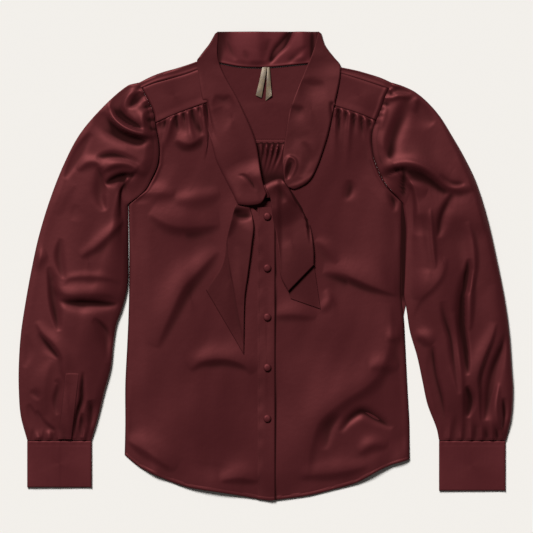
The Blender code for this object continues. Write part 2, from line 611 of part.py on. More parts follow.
def cuff_wall(name, profile, bottom, collection, closed):
    """Cuff band: its section runs round in X and Z, and it is swept from its seam to its lower edge."""
    ys = np.linspace(CUFF_SEAM_Y - SEAM_GAP, bottom, 5)
    grid = np.array([[(x, y, z) for x, z in profile] for y in ys])
    cloth(name, grid[::-1], collection, closed=closed, outward=-1.0)


def band_height(x, y, knot_share):
    """Underside of a tie band: low behind the neck, then over the yoke, the front and the knot."""
    over_yoke = ease((BAND_FOLD_Y - y) / BAND_FOLD_RUN)
    low = BAND_CLOTH + FOLD_GAP
    return low + (over_front(x, y) - low) * over_yoke + knot_share * knot_rise(x, y)


def make_tie_band(name, outer_points, inner_points, neck_x, collection, knot_share, curled):
    """A band of the tie: folded over at the side of the neck, then flat down to the knot."""
    shoulder = 4
    neck_rows = np.linspace(0, 1, shoulder + 1)
    body_rows = np.append(np.linspace(0, 0.97, 13)[1:], 1.0)
    outer = smooth_curve(outer_points)
    inner = smooth_curve(inner_points)
    turn_at = int(np.argmin(np.hypot(outer[:, 0] - outer_points[3][0], outer[:, 1] - outer_points[3][1])))
    turn_share = lengths(outer)[turn_at] / lengths(outer)[-1]
    vs = np.concatenate([neck_rows * turn_share, turn_share + body_rows * (1 - turn_share)])
    a, b = along(outer, vs), along(inner, vs)
    us = np.linspace(0, 1, 6)
    top = a[:, None] + (b - a)[:, None] * us[None, :, None]
    z = band_height(top[..., 0], top[..., 1], knot_share) + BAND_CLOTH
    upper = np.dstack([top, z])
    if curled:
        upper[-1, :, 2] -= END_CURL * (1 - us)
    upper[:shoulder, 0, 2] *= 0.5
    under = np.zeros((len(vs), 3, 3))
    for column, share in enumerate((0.12, 0.56, 1.0)):
        foot = a + (np.column_stack([np.full(len(vs), neck_x), a[:, 1]]) - a) * share
        under[:, column, :2] = foot
    grid = np.concatenate([under[:, ::-1], upper], axis=1)
    missing = np.zeros(grid.shape[:2], dtype=bool)
    missing[shoulder:, :3] = True
    facing = grid[:, ::-1] if neck_x > 0 else grid
    hidden = missing[:, ::-1] if neck_x > 0 else missing
    cloth(name, facing[::-1], collection, thickness=BAND_CLOTH, outward=-1.0, missing=hidden[::-1])


def make_tie(collection):
    left_x, right_x = COLLAR_ENDS
    xs = np.linspace(left_x + SEAM_GAP, right_x - SEAM_GAP, 13)
    neck = smooth_curve(BACK_NECK)
    seam_y = np.interp(xs, neck[:, 0], neck[:, 1]) + SEAM_GAP
    grid = np.zeros((4, len(xs), 3))
    grid[..., 0] = xs
    grid[..., 1] = seam_y + (TOP_Y - seam_y) * np.linspace(0, 1, 4)[:, None]
    cloth("collar_back", grid, collection, thickness=BAND_CLOTH)
    make_tie_band("tie_band_right", BAND_OUTER_RIGHT, BAND_INNER_RIGHT, left_x, collection, 1.0, curled=True)
    make_tie_band("tie_band_left", BAND_OUTER_LEFT, BAND_INNER_LEFT, right_x, collection,
                  LEFT_BAND_KNOT_SHARE, curled=False)
    make_knot(collection)
    make_tie_end_right(collection)
    make_tie_end_left(collection)


def make_knot(collection):
    x, y = KNOT_CENTRE
    seat = float(over_front(np.array([float(x)]), np.array([float(y)]))[0])
    bm = bmesh.new()
    bmesh.ops.create_uvsphere(bm, u_segments=16, v_segments=8, radius=MM)
    bmesh.ops.scale(bm, verts=bm.verts, vec=KNOT_HALF_SIZE)
    bmesh.ops.translate(bm, verts=bm.verts, vec=(x * MM, y * MM, (seat + KNOT_HALF_SIZE[2]) * MM))
    mesh = bpy.data.meshes.new("tie_knot")
    bm.to_mesh(mesh)
    bm.free()
    mesh.shade_smooth()
    place("tie_knot", mesh, collection, (SATIN, 0.42))


def rest_height(x, y):
    """Underside of a hanging end where it rests on the front."""
    return over_front(x, y) + SEAM_GAP


def make_tie_end_right(collection):
    """Hanging end on the wearer's right: a sheet with one long ridge, cut off at a slant."""
    left = smooth_curve(END_RIGHT_LEFT_EDGE)
    right = smooth_curve(END_RIGHT_RIGHT_EDGE)
    points = patch(straight(left[0], right[0]), straight(left[-1], right[-1]), left, right,
                   np.linspace(0, 1, 7), np.linspace(0, 1, 14))
    x, y = points[..., 0], points[..., 1]
    ridge = fold_height(x, y, [(END_RIGHT_RIDGE, 4.0, 11, 10)])
    z = rest_height(x, y) + ridge
    cloth("tie_end_right", np.dstack([points, z])[::-1], collection, thickness=BAND_CLOTH)


def make_tie_end_left(collection):
    """Hanging end on the wearer's left: over the knot, then folded back and out again at its tip."""
    left = smooth_curve(END_LEFT_LEFT_EDGE)
    right = smooth_curve(END_LEFT_RIGHT_EDGE)
    us = np.linspace(0, 1, 7)
    points = patch(straight(left[0], right[0]), straight(left[-1], right[-1]), left, right,
                   us, np.linspace(0, 1, 14))
    x, y = points[..., 0], points[..., 1]
    layer = BAND_CLOTH + LAYER_GAP
    crest = points[-1]
    from_crest = np.hypot(x - crest[:, 0], y - crest[:, 1])
    over_band = 1.8 * (1 - ease((x - 16) / 9))
    crest_rise = 2 * layer * (1 - ease((from_crest - 26) / 42))
    upper = np.dstack([points, rest_height(x, y) + knot_rise(x, y) + over_band + crest_rise + BAND_CLOTH])
    tip = along(np.array(END_LEFT_TIP, dtype=float), us)
    away = tip - crest
    reach = np.linalg.norm(away, axis=1, keepdims=True)
    away /= reach
    back = np.maximum(0.3 * reach, 6.0)
    run = crest[-1] - crest[0]
    across = np.array([run[1], -run[0]]) / np.linalg.norm(run)
    radius = (layer + BAND_CLOTH) / 2
    rows = []
    for angle in (60, 0, -60):
        swing = radius * math.cos(math.radians(angle))
        middle = 2 * layer + BAND_CLOTH - radius
        rows.append((crest + across * swing, middle + radius * math.sin(math.radians(angle))))
    rows += [(crest - away * back * share, layer) for share in (0.1, 0.55, 1.0)]
    rows.append((crest - away * (back + LAYER_GAP / 2), layer - LAYER_GAP / 2))
    behind = crest - away * back
    rows += [(behind + (tip - behind) * share, BAND_CLOTH) for share in (0.0, 0.3, 0.65, 1.0)]
    rows = [np.column_stack([at, rest_height(at[:, 0], at[:, 1]) + rise])[None] for at, rise in rows]
    grid = np.vstack([upper] + rows)
    cloth("tie_end_left", grid[::-1], collection, thickness=BAND_CLOTH, outward=-1.0)


def make_ribbon(collection):
    for number, (top_x, top_width, bottom_x, bottom_width, bottom_y) in enumerate(RIBBON_LEGS, start=1):
        ys = np.linspace(RIBBON_TOP_Y, bottom_y, 6)
        centre = np.interp(ys, [bottom_y, RIBBON_TOP_Y], [bottom_x, top_x])
        width = np.interp(ys, [bottom_y, RIBBON_TOP_Y], [bottom_width, top_width])
        grid = np.zeros((len(ys), 3, 3))
        grid[..., 0] = centre[:, None] + np.array([-0.5, 0.0, 0.5]) * width[:, None]
        grid[..., 1] = ys[:, None]
        grid[..., 2] = CLOTH + SEAM_GAP
        part = cloth("ribbon_leg_%d" % number, grid[::-1], collection, thickness=RIBBON_CLOTH)
        shader = part.active_material.node_tree.nodes["Principled BSDF"]
        shader.inputs["Base Color"].default_value = (*RIBBON_GOLD, 1)


def main():
    for old in list(bpy.data.objects):
        bpy.data.objects.remove(old, do_unlink=True)
    collection = bpy.data.collections.new("satin_blouse")
    bpy.context.scene.collection.children.link(collection)
    make_back(collection)
    make_back_yoke(collection)
    make_front_yokes(collection)
    make_fronts(collection)
    make_button_band(collection)
    make_buttons(collection)
    right_sleeve = make_sleeves(collection)
    make_sleeve_strip(collection, right_sleeve)
    make_cuffs(collection)
    make_tie(collection)
    make_ribbon(collection)


main()
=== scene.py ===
"""Satin blouse with a half-knotted neck tie, laid flat: cloth shells, folds, stitching and finishes.

Tables are in millimetres, seen from above: +X towards the wearer's left sleeve, +Y towards the neck.
"""
import math
from collections import namedtuple

import bpy
import numpy as np
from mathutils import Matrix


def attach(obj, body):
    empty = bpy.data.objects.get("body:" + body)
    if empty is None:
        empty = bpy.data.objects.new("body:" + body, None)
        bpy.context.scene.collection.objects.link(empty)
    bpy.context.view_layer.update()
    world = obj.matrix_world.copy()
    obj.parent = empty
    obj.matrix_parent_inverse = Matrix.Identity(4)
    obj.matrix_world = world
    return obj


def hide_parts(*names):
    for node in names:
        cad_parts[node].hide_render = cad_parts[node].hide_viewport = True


bl_info = {
    "name": "Satin Blouse",
    "version": (1, 0, 0),
    "blender": (4, 5, 0),
    "location": "3D View > Sidebar > Blouse",
    "description": "Builds a satin blouse with a neck tie, laid flat, around its packed solids",
    "category": "Add Mesh",
}

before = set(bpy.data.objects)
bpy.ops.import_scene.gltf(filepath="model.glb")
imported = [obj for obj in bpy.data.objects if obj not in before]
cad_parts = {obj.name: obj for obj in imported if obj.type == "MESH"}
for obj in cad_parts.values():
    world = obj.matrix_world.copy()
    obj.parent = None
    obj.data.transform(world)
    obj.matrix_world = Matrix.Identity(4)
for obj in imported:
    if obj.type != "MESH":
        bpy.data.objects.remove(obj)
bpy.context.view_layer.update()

MM = 0.001

# Stage: floor's size and how far it is below the cloth, in metres, and the camera's sensor, in mm
FLOOR_SIZE = 12.0
FLOOR_DROP = 0.0004
SENSOR = 36.0

# Heights between layers, as in the solids
CLOTH = 1.2
BAND_CLOTH = 1.5
SEAM_GAP = 0.3
FRONT_BASE = 1.9
TOP_Y = 363.0
BACK_YOKE_SEAM_Y = 192.0
CUFF_SEAM_Y = -270.0

# Depth of a crease at which the painted shade in it is darkest
PAINTED_SHADE_FULL_DEPTH = 1.6

# Spacing of the shells' points along a piece, and across the narrow ones
FINE = 2.0
NARROW = 1.6

# Outline of the body and the seams in it
SIDE_RIGHT = [(-219, -293), (-218, -246), (-218, -184), (-215, -122), (-213, -76), (-212, -29), (-212, 40),
              (-213, 96)]
ARMHOLE_RIGHT = [(-213, 96), (-188, 117), (-177, 136), (-168, 157), (-166, 184), (-172, 222), (-175, 239),
                 (-184, 259), (-193, 276), (-197, 284)]
SIDE_LEFT = [(222, -300), (222, -246), (219, -189), (216, -130), (213.4, -81), (209.6, -48), (209.2, 25),
             (211, 99)]
ARMHOLE_LEFT = [(211, 99), (189, 122), (177, 141), (168, 164), (164, 191), (165, 208), (171, 226), (179, 245),
                (184, 261), (191, 276), (195, 284)]
HEM = [(-219, -293), (-195, -312), (-158, -330), (-121, -343), (-84, -349), (-46, -355), (-12, -361),
       (6, -363), (28, -361), (65, -356), (102, -347), (140, -336), (177, -316), (195, -308), (222, -300)]
SHOULDER_RIGHT = [(-197, 284), (-177, 294), (-158, 301), (-140, 306), (-121, 312), (-107, 317)]
SHOULDER_LEFT = [(116, 308), (140, 303), (158, 298), (177, 292), (195, 284)]
BACK_NECK = [(-107, 317), (-90, 316), (-74, 315), (-40, 309), (0, 308), (46, 312), (81, 315), (98, 313),
             (116, 308)]
SHOULDER_SEAM_RIGHT = [(-193, 276), (-174, 284), (-149, 291), (-124, 298), (-102, 306)]
SHOULDER_SEAM_LEFT = [(107, 302), (136, 293), (161, 285), (191, 275)]
YOKE_SEAM_RIGHT = [(-172, 222), (-147, 233), (-122, 243), (-91, 254)]
YOKE_SEAM_LEFT = [(98, 251), (122, 244), (146, 236), (171, 226)]
FRONT_NECK_RIGHT = [(-91, 254), (-76, 183), (-67, 157), (-46, 121), (-29, 98), (-12, 82)]
FRONT_NECK_LEFT = [(98, 251), (84, 188), (62, 141), (37, 117), (14, 97), (-10, 82)]
FRONTS_MEET_X = -11.5
# Where the hem stands off the surface: x, rise and half width
HEM_LIFTS = [(-172, 4.0, 16), (-84, 4.4, 44), (168, 4.2, 26), (210, 3.4, 16)]

# Sleeves
SLEEVE_OUTER_RIGHT = [(-198, 284), (-215, 279), (-251, 248), (-288, 205), (-313, 158), (-335, 102),
                      (-352, 46), (-364, -9), (-374, -65), (-380, -107), (-383, -153), (-383, -192),
                      (-380, -232), (-370, -270)]
SLEEVE_INNER_RIGHT = [(-214, 96), (-213.5, 40), (-214, -29), (-222, -65), (-231, -90), (-236, -121),
                      (-240, -158), (-250, -195), (-259, -232), (-270, -270)]
SLEEVE_OUTER_LEFT = [(196, 284), (214, 278), (232, 269), (251, 253), (270, 231), (288, 202), (307, 169),
                     (326, 129), (344, 71), (358, 9), (369, -46), (377, -102), (381, -158), (383, -195),
                     (380, -236), (372, -270)]
SLEEVE_INNER_LEFT = [(212, 98), (216.6, 62), (216, 25), (214.8, -20), (214, -48), (217.5, -67), (223, -102),
                     (234, -140), (242, -177), (250, -214), (264, -251), (268, -270)]
SLEEVE_EDGE_RADIUS = 2.2
SLEEVE_STRIP_LEFT = [(-322, -268), (-309, -160)]
ARMHOLE_GAP = 0.15
CAP_CROWDING = 1.6
CAP_REACH = 0.36
UNDERARM_TURN = 16.0

# Neck tie
COLLAR_ENDS = (-74, 81)
BAND_OUTER_RIGHT = [(-79, 360), (-88, 344), (-95, 335), (-102.5, 325), (-107, 317), (-98, 251), (-82, 180),
                    (-76, 160), (-53, 115), (-43, 94)]
BAND_INNER_RIGHT = [(-74, 363), (-73, 316), (-40, 250), (-17, 195), (-6, 133), (1, 111)]
BAND_OUTER_LEFT = [(86, 360), (91, 344), (98, 333), (106, 323), (116, 308), (104, 242), (91, 188), (68, 133),
                   (45, 119), (34, 122)]
BAND_INNER_LEFT = [(81, 363), (72, 330), (59, 300), (37, 242), (28, 188), (25, 157), (28, 137)]
END_RIGHT_LEFT_EDGE = [(-47, 95), (-59, 48), (-68, 2), (-93, -37)]
END_RIGHT_RIGHT_EDGE = [(-25, 93), (-19, 64), (-22, 33), (-28, -14), (-33, -53), (-34, -138)]
END_RIGHT_LAP = [(-55, 100), (-56, 90), (-60, 56), (-59, 14), (-50, -39), (-39, -101), (-33, -140)]
END_LEFT_TOP = [(-2.3, 126.5), (9.3, 132.6), (20.9, 135.6), (26.7, 134)]
END_LEFT_LEFT_EDGE = [(-2.3, 126.5), (0.5, 118), (6.4, 106), (9.6, 80), (16, 45), (20, 17), (23, -17),
                      (34, -38)]
END_LEFT_RIGHT_EDGE = [(26.7, 134), (53, 95), (68, 64), (74, 25), (74, 3)]
END_LEFT_STRIP = [(24, 138), (36, 118), (47, 98), (54, 88), (61, 74), (65, 50), (70, 20)]
END_LEFT_TIP = [(38, -50), (84, -66)]
KNOT_CENTRE = (-3, 112)
KNOT_RISE = 5.8
KNOT_REACH = (82, 58)
LEFT_BAND_KNOT_SHARE = 0.3
# Where the bands leave their fold beside the neck, over how long a run, and the gap inside the fold
BAND_FOLD_Y = 342
BAND_FOLD_RUN = 20
FOLD_GAP = 1.7

# Front opening
BAND_LEFT_X = -13.0
BAND_RIGHT_X = 14.0
BAND_TOP_Y = 91.0
BUTTON_X = 2.0
BUTTON_YS = (77, -3, -79, -157, -236)
BUTTON_DIAMETER = 12.0

# Cuffs: left edge, right edge, lower edge
CUFF_RIGHT = (-370, -270, -343)
CUFF_LEFT = (268, 371, -348)
CUFF_OVERLAP_X = -320.0
CUFF_HEIGHT = 4.2

# Stitches: pitch, length and thickness
STITCH = (3.0, 2.2, 0.44)

# Ribbon legs: top x, top width, bottom x, bottom width, bottom y
RIBBON_LEGS = [(-1.6, 7.0, -11.5, 9.0, 260.5), (3.9, 3.2, 4.2, 9.6, 256.0)]
RIBBON_TOP_Y = 307.0

# Cut of each piece as far as it shows, all round on a tube: width, length, and the share of that they fill
CUTS = {
    "back_panel": (520, 570, 0.76),
    "back_yoke": (400, 170, 0.68),
    "front_right": (270, 600, 0.66),
    "front_left": (290, 600, 0.66),
    "front_yoke_right": (95, 56, 1.0),
    "front_yoke_left": (84, 56, 1.0),
    "button_band": (27, 455, 1.0),
    "sleeve_right": (380, 600, 0.66),
    "sleeve_left": (380, 600, 0.66),
    "sleeve_strip_right": (21, 108, 1.0),
    "cuff_right": (204, 73, 1.0),
    "cuff_left": (210, 78, 1.0),
    "collar_back": (158, 57, 1.0),
    "tie_band_right": (55, 290, 0.9),
    "tie_band_left": (50, 290, 0.9),
    "tie_end_right": (62, 210, 0.66),
    "tie_end_left": (55, 290, 0.72),
    "ribbon_leg_1": (10, 44, 0.85),
    "ribbon_leg_2": (10, 44, 0.85),
}

# A fold runs along a path. left and right are its half widths on either side of the path, and a rooted fold
# is at full height where it leaves its seam.
Fold = namedtuple("Fold", "path height left right rooted", defaults=(False,))

FRONT_FOLDS = [
    Fold([(-181, 82), (-157, 68), (-133, 62), (-102, 62), (-71, 65)], 4.6, 34, 9.3),
    Fold([(-170, -126), (-163, -107), (-147, -70), (-129, -33), (-104, -6), (-74, 25)], 5.6, 26, 8.9),
    Fold([(-119, -160), (-98, -147), (-64, -143), (-33, -153), (-22, -167)], 4.8, 20, 6.8),
    Fold([(-217, -268), (-180, -289), (-141, -316)], 3.6, 26, 7.6),
    Fold([(-71, -332), (-40, -327), (-11, -332)], 3.4, 20, 6.8),
    Fold([(-203, 110), (-180, 115), (-141, 112)], 2.6, 14, 10),
    Fold([(-141, 102), (-110, 105), (-71, 113)], 2.8, 14, 12),
    Fold([(88, -9), (122, -14), (165, -31), (206, -46)], 5, 26, 5.5),
    Fold([(76, 40), (93, 29), (110, 5)], 2.1, 10, 6),
    Fold([(84, -70), (98, -53), (93, -36)], 1.8, 8, 8),
    Fold([(62, -332), (67, -285), (82, -240), (119, -208), (165, -175), (189, -126), (192, -57)],
         4.6, 34, 11),
    Fold([(91, -285), (98, -254), (115, -229)], -2.8, 12, 8),
    Fold([(115, -258), (130, -237), (149, -226), (173, -237), (196, -251)], -4.4, 6.8, 8),
    Fold([(53, -324), (107, -319), (158, -310)], 3, 18, 8),
    Fold([(143, -289), (165, -276), (189, -277)], 3, 12, 8),
    Fold([(186, -113), (202, -109), (215, -108)], 2.5, 14, 8),
    Fold([(160, -157), (181, -153), (205, -157)], 2.5, 14, 9),
    Fold([(11, -76), (45, -74), (78, -79)], 2.8, 18, 7),
    Fold([(122, 102), (130, 118), (129, 133)], -2.2, 8, 8),
    Fold([(200, 84), (197, 107), (192, 127)], -3.4, 6, 9),
    Fold([(-141, 196), (-118, 190), (-96, 204)], 5.4, 26, 6.8),
]
# Gathers under the front yokes: fraction along the seam, height, half width, reach and sideways drift
YOKE_GATHERS_RIGHT = [(0.10, -2.2, 3.2, 26, -6), (0.20, -2.6, 2.6, 22, -6), (0.33, 3.8, 4.0, 62, -26),
                      (0.40, -4.0, 2.6, 32, 2), (0.48, 2.0, 2.8, 26, 3), (0.54, -2.8, 2.4, 22, 4),
                      (0.62, 4.0, 3.6, 66, 10), (0.70, -2.6, 2.6, 30, 4), (0.78, 2.6, 2.4, 24, 8),
                      (0.83, -3.0, 2.2, 26, 8), (0.90, 4.2, 4.0, 124, 10), (0.955, -4.6, 3.6, 78, 20)]
YOKE_GATHERS_LEFT = [(0.06, -2.8, 2.6, 40, 4), (0.13, 3.2, 3.4, 96, 2), (0.20, -3.8, 3.0, 56, 2),
                     (0.28, 2.4, 2.8, 30, 4), (0.35, -3.0, 2.6, 34, 3), (0.43, 3.4, 3.6, 100, -2),
                     (0.51, -3.2, 2.8, 40, 4), (0.60, 2.0, 2.6, 26, 5), (0.67, -3.2, 2.8, 46, 6),
                     (0.76, 3.0, 3.4, 54, 8), (0.84, -2.8, 2.6, 28, 8), (0.92, 2.0, 2.8, 30, 8)]
BACK_GATHERS = [(-14, -4.6, 3.6, 44, 2), (-7, 2.4, 2.4, 48, -4), (-2.5, -4.4, 2.4, 60, -8),
                (1.5, 2.4, 2.4, 62, -10),
                (6.4, -4.8, 2.6, 70, -16), (11, 2.4, 2.4, 66, -18), (15, -4.8, 2.6, 70, -22),
                (19.6, 2.6, 2.4, 64, -22), (23.5, -4.4, 2.4, 60, -22), (28, 2.0, 2.4, 54, -20)]

SLEEVE_FOLDS_RIGHT = [
    Fold([(-248, 262), (-240, 246), (-232, 228), (-217, 214), (-195, 205), (-170, 201)], 9.6, 12, 8),
    Fold([(-209, 280), (-225, 265), (-232, 251), (-229, 237), (-215, 224), (-188, 210)], -11, 7, 9),
    Fold([(-284, 250), (-262, 234), (-241, 216), (-222, 204), (-203, 197), (-180, 194)], -8.4, 8, 13),
    Fold([(-216, 238), (-219, 250), (-213, 264), (-198, 274)], 2.7, 6.5, 5),
    Fold([(-212, 245), (-203, 257), (-194, 270)], -5.5, 4, 7.8),
    Fold([(-188, 212), (-190, 230), (-185, 246)], 3.2, 7.8, 5),
    Fold([(-257, 144), (-246, 152), (-230, 158), (-213, 158), (-198, 150), (-188, 138)], 4.6, 14, 6),
    Fold([(-263, 168), (-242, 172), (-222, 169), (-202, 161), (-189, 148)], -3.4, 5, 9),
    Fold([(-249, 127), (-237, 133), (-221, 139), (-201, 142)], -7.2, 5, 9),
    Fold([(-220, 143), (-219, 122), (-213, 96)], -4.9, 3.9, 7.8),
    Fold([(-292, 148), (-277, 160), (-262, 160), (-253, 149)], 2.8, 9, 6.2),
    Fold([(-258, 152), (-255, 129), (-256, 108), (-249, 85)], -4.8, 8, 9.8),
    Fold([(-312, 135), (-303, 155), (-292, 176), (-271, 205)], -5.0, 6, 8),
    Fold([(-288, 14), (-265, 29), (-242, 50), (-215, 76)], 3.6, 12, 6.2),
    Fold([(-313, -20), (-321, 13), (-318, 42)], -3.2, 5, 8.4),
    Fold([(-372, 0), (-354, 12), (-338, 18)], 3.6, 18, 12),
    Fold([(-299, 70), (-296, 84), (-292, 95)], -0.6, 7, 10),
    Fold([(-323, 79), (-312, 110), (-296, 129)], 1.2, 16, 10),
    Fold([(-317, -31), (-304, -19), (-273, -16), (-242, -19), (-225, -26)], 1.7, 8, 5),
    Fold([(-332, -22), (-322, -36), (-306, -43), (-273, -42), (-242, -43), (-222, -54)], 3.6, 15, 8.4),
    Fold([(-321, -54), (-296, -57), (-265, -58), (-229, -60)], -5.8, 5.5, 11),
    Fold([(-321, -101), (-327, -72), (-330, -49), (-332, -29), (-337, -2)], -5.8, 4.7, 9.8),
    Fold([(-356, -86), (-343, -106), (-325, -123), (-314, -141), (-312, -163), (-305, -183)], 3.6, 13, 6),
    Fold([(-352, -104), (-335, -126), (-320, -143)], -2.8, 4, 8),
    Fold([(-266, -81), (-253, -93), (-245, -107), (-241, -130), (-243, -150)], -5.5, 4.7, 11.8),
    Fold([(-367, -214), (-360, -232), (-352, -247), (-348, -264)], -5.2, 4, 7.8),
    Fold([(-355, -224), (-346, -243), (-336, -250), (-326, -255)], -4.9, 4, 7.8),
    Fold([(-324, -231), (-326, -208), (-321, -184), (-327, -177)], -2.8, 4, 9),
    Fold([(-297, -266), (-295, -246), (-291, -225), (-286, -208), (-285, -188), (-283, -164)], -5.2, 2.8, 5),
    Fold([(-286, -265), (-286, -246), (-285, -228)], -5.8, 3, 5.9),
    Fold([(-273, -262), (-268, -235), (-273, -208)], -7.5, 6.2, 13.7),
    Fold([(-366, -196), (-356, -199), (-352, -208)], -1.4, 6, 6),
    Fold([(-343, -231), (-346, -200), (-341, -169), (-331, -146)], 2.2, 13, 10),
    Fold([(-374, -107), (-370, -130), (-375, -157)], -2.3, 8, 11.2),
]
SLEEVE_FOLDS_LEFT = [
    Fold([(178, 150), (183, 190), (190, 215), (202, 240), (212, 264)], 1.4, 12, 8),
    Fold([(188, 154), (195, 192), (203, 215), (214, 236), (224, 262)], -4.4, 14, 12),
    Fold([(189, 258), (206, 264), (224, 262)], 4, 13.3, 4.7),
    Fold([(191, 267), (205, 273), (225, 268)], -4.6, 4, 7.8),
    Fold([(228, 256), (243, 239), (260, 220)], -3.4, 7, 18),
    Fold([(233, 238), (231, 250), (236, 262)], 2.5, 6.5, 5),
    Fold([(174, 141), (194, 153), (219, 157), (242, 151), (261, 138), (277, 126), (297, 119),
          (322, 120)], 7.4, 18, 7),
    Fold([(172, 145), (194, 157), (219, 161), (242, 155), (261, 142), (277, 130), (297, 123),
          (322, 124)], 1.6, 4, 4),
    Fold([(187, 141), (203, 148), (219, 151)], -2.5, 3, 4.2),
    Fold([(268, 141), (285, 128), (307, 127)], -3.1, 3.4, 4.8),
    Fold([(213, 150), (213, 122), (214, 96)], -3.6, 4.5, 4.5),
    Fold([(212, 128), (230, 124), (250, 116)], 2.4, 6, 16),
    Fold([(176, 138), (186, 121), (207, 103)], 4.6, 9, 4),
    Fold([(266, 44), (273, 77), (288, 112)], -5.2, 5.5, 10),
    Fold([(262, -4), (257, 46), (254, 89)], 3, 5.2, 4),
    Fold([(318, -41), (322, 2), (320, 33), (312, 69)], 4, 13.3, 4.7),
    Fold([(309, -45), (311, -14), (313, 11)], -5, 4, 7.8),
    Fold([(231, 48), (236, 64), (233, 79)], -1.6, 9, 14),
    Fold([(177, 211), (181, 230), (187, 246)], 1.9, 6.5, 5),
    Fold([(225, -81), (237, -52), (257, -32), (271, -14), (279, 13)], 2.2, 16, 6.2),
    Fold([(310, -6), (305, -49), (305, -91), (310, -126), (313, -169)], -8.6, 3.9, 9.8),
    Fold([(316, -99), (316, -53), (319, -6)], 3.7, 6.5, 4.7),
    Fold([(299, -198), (291, -150), (287, -115), (277, -84), (271, -55)], -5.3, 5.5, 11.8),
    Fold([(304, -256), (302, -188), (297, -130), (292, -71)], 3.8, 11, 5),
    Fold([(229, -112), (243, -110), (257, -122)], 3.4, 12, 8),
    Fold([(258, -124), (260, -169), (270, -210), (277, -259)], -8.7, 4.7, 9.8),
    Fold([(330, -249), (328, -200), (326, -174), (336, -142), (349, -111), (356, -88)], 5.2, 17.7, 4.7),
    Fold([(340, -239), (345, -200), (353, -161), (365, -126), (372, -103)], -7.0, 6.2, 10),
    Fold([(311, -185), (317, -208), (312, -235)], -5.6, 5.5, 7),
    Fold([(366, -258), (370, -235), (367, -204)], -5.3, 4, 7.8),
    Fold([(360, -254), (356, -215), (360, -181)], 3.2, 7.8, 5),
    Fold([(235, -53), (243, -29), (254, -6)], 1.8, 18.2, 10),
    Fold([(359, -130), (356, -84), (353, -29)], 1.9, 18.2, 12),
    Fold([(228, 78), (285, 84), (344, 62)], 6.0, 40, 28),
    Fold([(205, 156), (250, 154), (300, 140), (345, 118)], 3.6, 36, 14),
]
# Gathers of the sleeve heads: fraction along the armhole from the shoulder, height, half width, reach, drift
CAP_GATHERS_RIGHT = [(0.04, -2.0, 2.6, 16, 3), (0.10, -2.8, 2.4, 22, 2), (0.145, 1.8, 2.4, 16, 0),
                     (0.19, -2.8, 2.6, 20, -1), (0.24, -1.8, 2.2, 12, -2), (0.30, -2.4, 2.8, 18, -3),
                     (0.37, -1.8, 2.6, 14, -3)]
CAP_GATHERS_LEFT = [(0.03, -2.4, 2.4, 14, -3), (0.08, -3.0, 2.6, 18, -2), (0.125, 2.0, 2.2, 12, 0),
                    (0.17, -2.6, 2.4, 14, 1), (0.22, -1.2, 2.2, 10, 2), (0.27, -1.4, 2.6, 12, 3),
                    (0.33, -0.8, 2.4, 10, 3)]
# Gathers at the cuffs: x at the seam, height, half width, reach and drift
CUFF_GATHERS_RIGHT = [(-362, -2.6, 2.8, 26, -6), (-353, 1.2, 3.4, 44, -10), (-344, -3.0, 3.0, 30, -3),
                      (-336, 1.2, 3.4, 52, -4), (-328, -2.8, 2.8, 24, 0), (-320, 1.6, 2.6, 20, 0),
                      (-313, -2.6, 2.8, 28, 2), (-304, 2.4, 3.2, 56, 3), (-290, -3.2, 3.0, 40, 6),
                      (-282, 2.0, 2.8, 34, 4), (-275, -2.6, 2.6, 26, 5)]
CUFF_GATHERS_LEFT = [(274, -2.8, 2.6, 30, -4), (283, 2.2, 3.2, 50, -5), (292, -3.4, 3.0, 44, -3),
                     (301, 1.8, 2.8, 28, -1), (308, -2.8, 2.8, 30, 0), (317, 2.2, 3.0, 50, 1),
                     (325, -3.2, 2.8, 34, 2), (334, 2.0, 3.0, 48, 3), (342, -2.8, 2.8, 26, 3),
                     (350, 2.2, 3.0, 44, 4), (359, -2.8, 2.6, 28, 5), (367, 1.6, 2.8, 30, 7)]

COLLAR_FOLDS = [
    Fold([(-80, 300), (-77, 335), (-74, 392)], -5.6, 9, 6),
    Fold([(-46, 318), (-55, 336), (-72, 372)], -2.6, 7, 7),
    Fold([(-14, 290), (-14, 335), (-16, 392)], 4.6, 30, 14),
    Fold([(-4, 318), (2, 336), (6, 352)], -1.6, 8, 8),
    Fold([(4, 312), (14, 330), (28, 346), (46, 374)], -7.5, 6, 6),
    Fold([(54, 296), (55, 330), (58, 392)], 3.6, 16, 10),
    Fold([(34, 306), (38, 318), (52, 330), (64, 340)], -2.0, 6, 6),
    Fold([(-28, 312), (-30, 322), (-34, 334)], -1.2, 4, 5),
    Fold([(76, 296), (75, 340), (76, 392)], -5.0, 9, 6),
]
BAND_FOLDS = [
    Fold([(-72, 246), (-66, 232), (-52, 224)], -1.2, 10, 22),
    Fold([(-42, 141), (-33, 139), (-24, 131), (-15, 116)], -2.2, 2.2, 3.0),
    Fold([(-26, 144), (-14, 122), (-4, 100), (0, 84)], -1.2, 5, 4),
    Fold([(-80, 262), (-66, 256), (-54, 262)], -1.8, 6, 16),
    Fold([(54, 284), (74, 278), (92, 282)], -2.0, 9, 24),
    Fold([(36, 246), (48, 241), (60, 244)], -2.2, 6, 14),
    Fold([(36, 206), (50, 196), (70, 204)], -0.7, 10, 20),
    Fold([(28, 134), (30, 157), (36, 168), (44, 165), (46, 155), (40, 138)], 2.2, 3, 3),
    Fold([(33, 134), (35, 148), (39, 162)], -3.2, 4, 4),
    Fold([(42, 184), (58, 183), (78, 174)], 1.0, 24, 17),
    Fold([(58, 192), (65, 165), (54, 138)], -2.0, 8, 8),
    Fold([(34, 122), (52, 126), (70, 137), (86, 152)], 1.5, 5, 4),
]
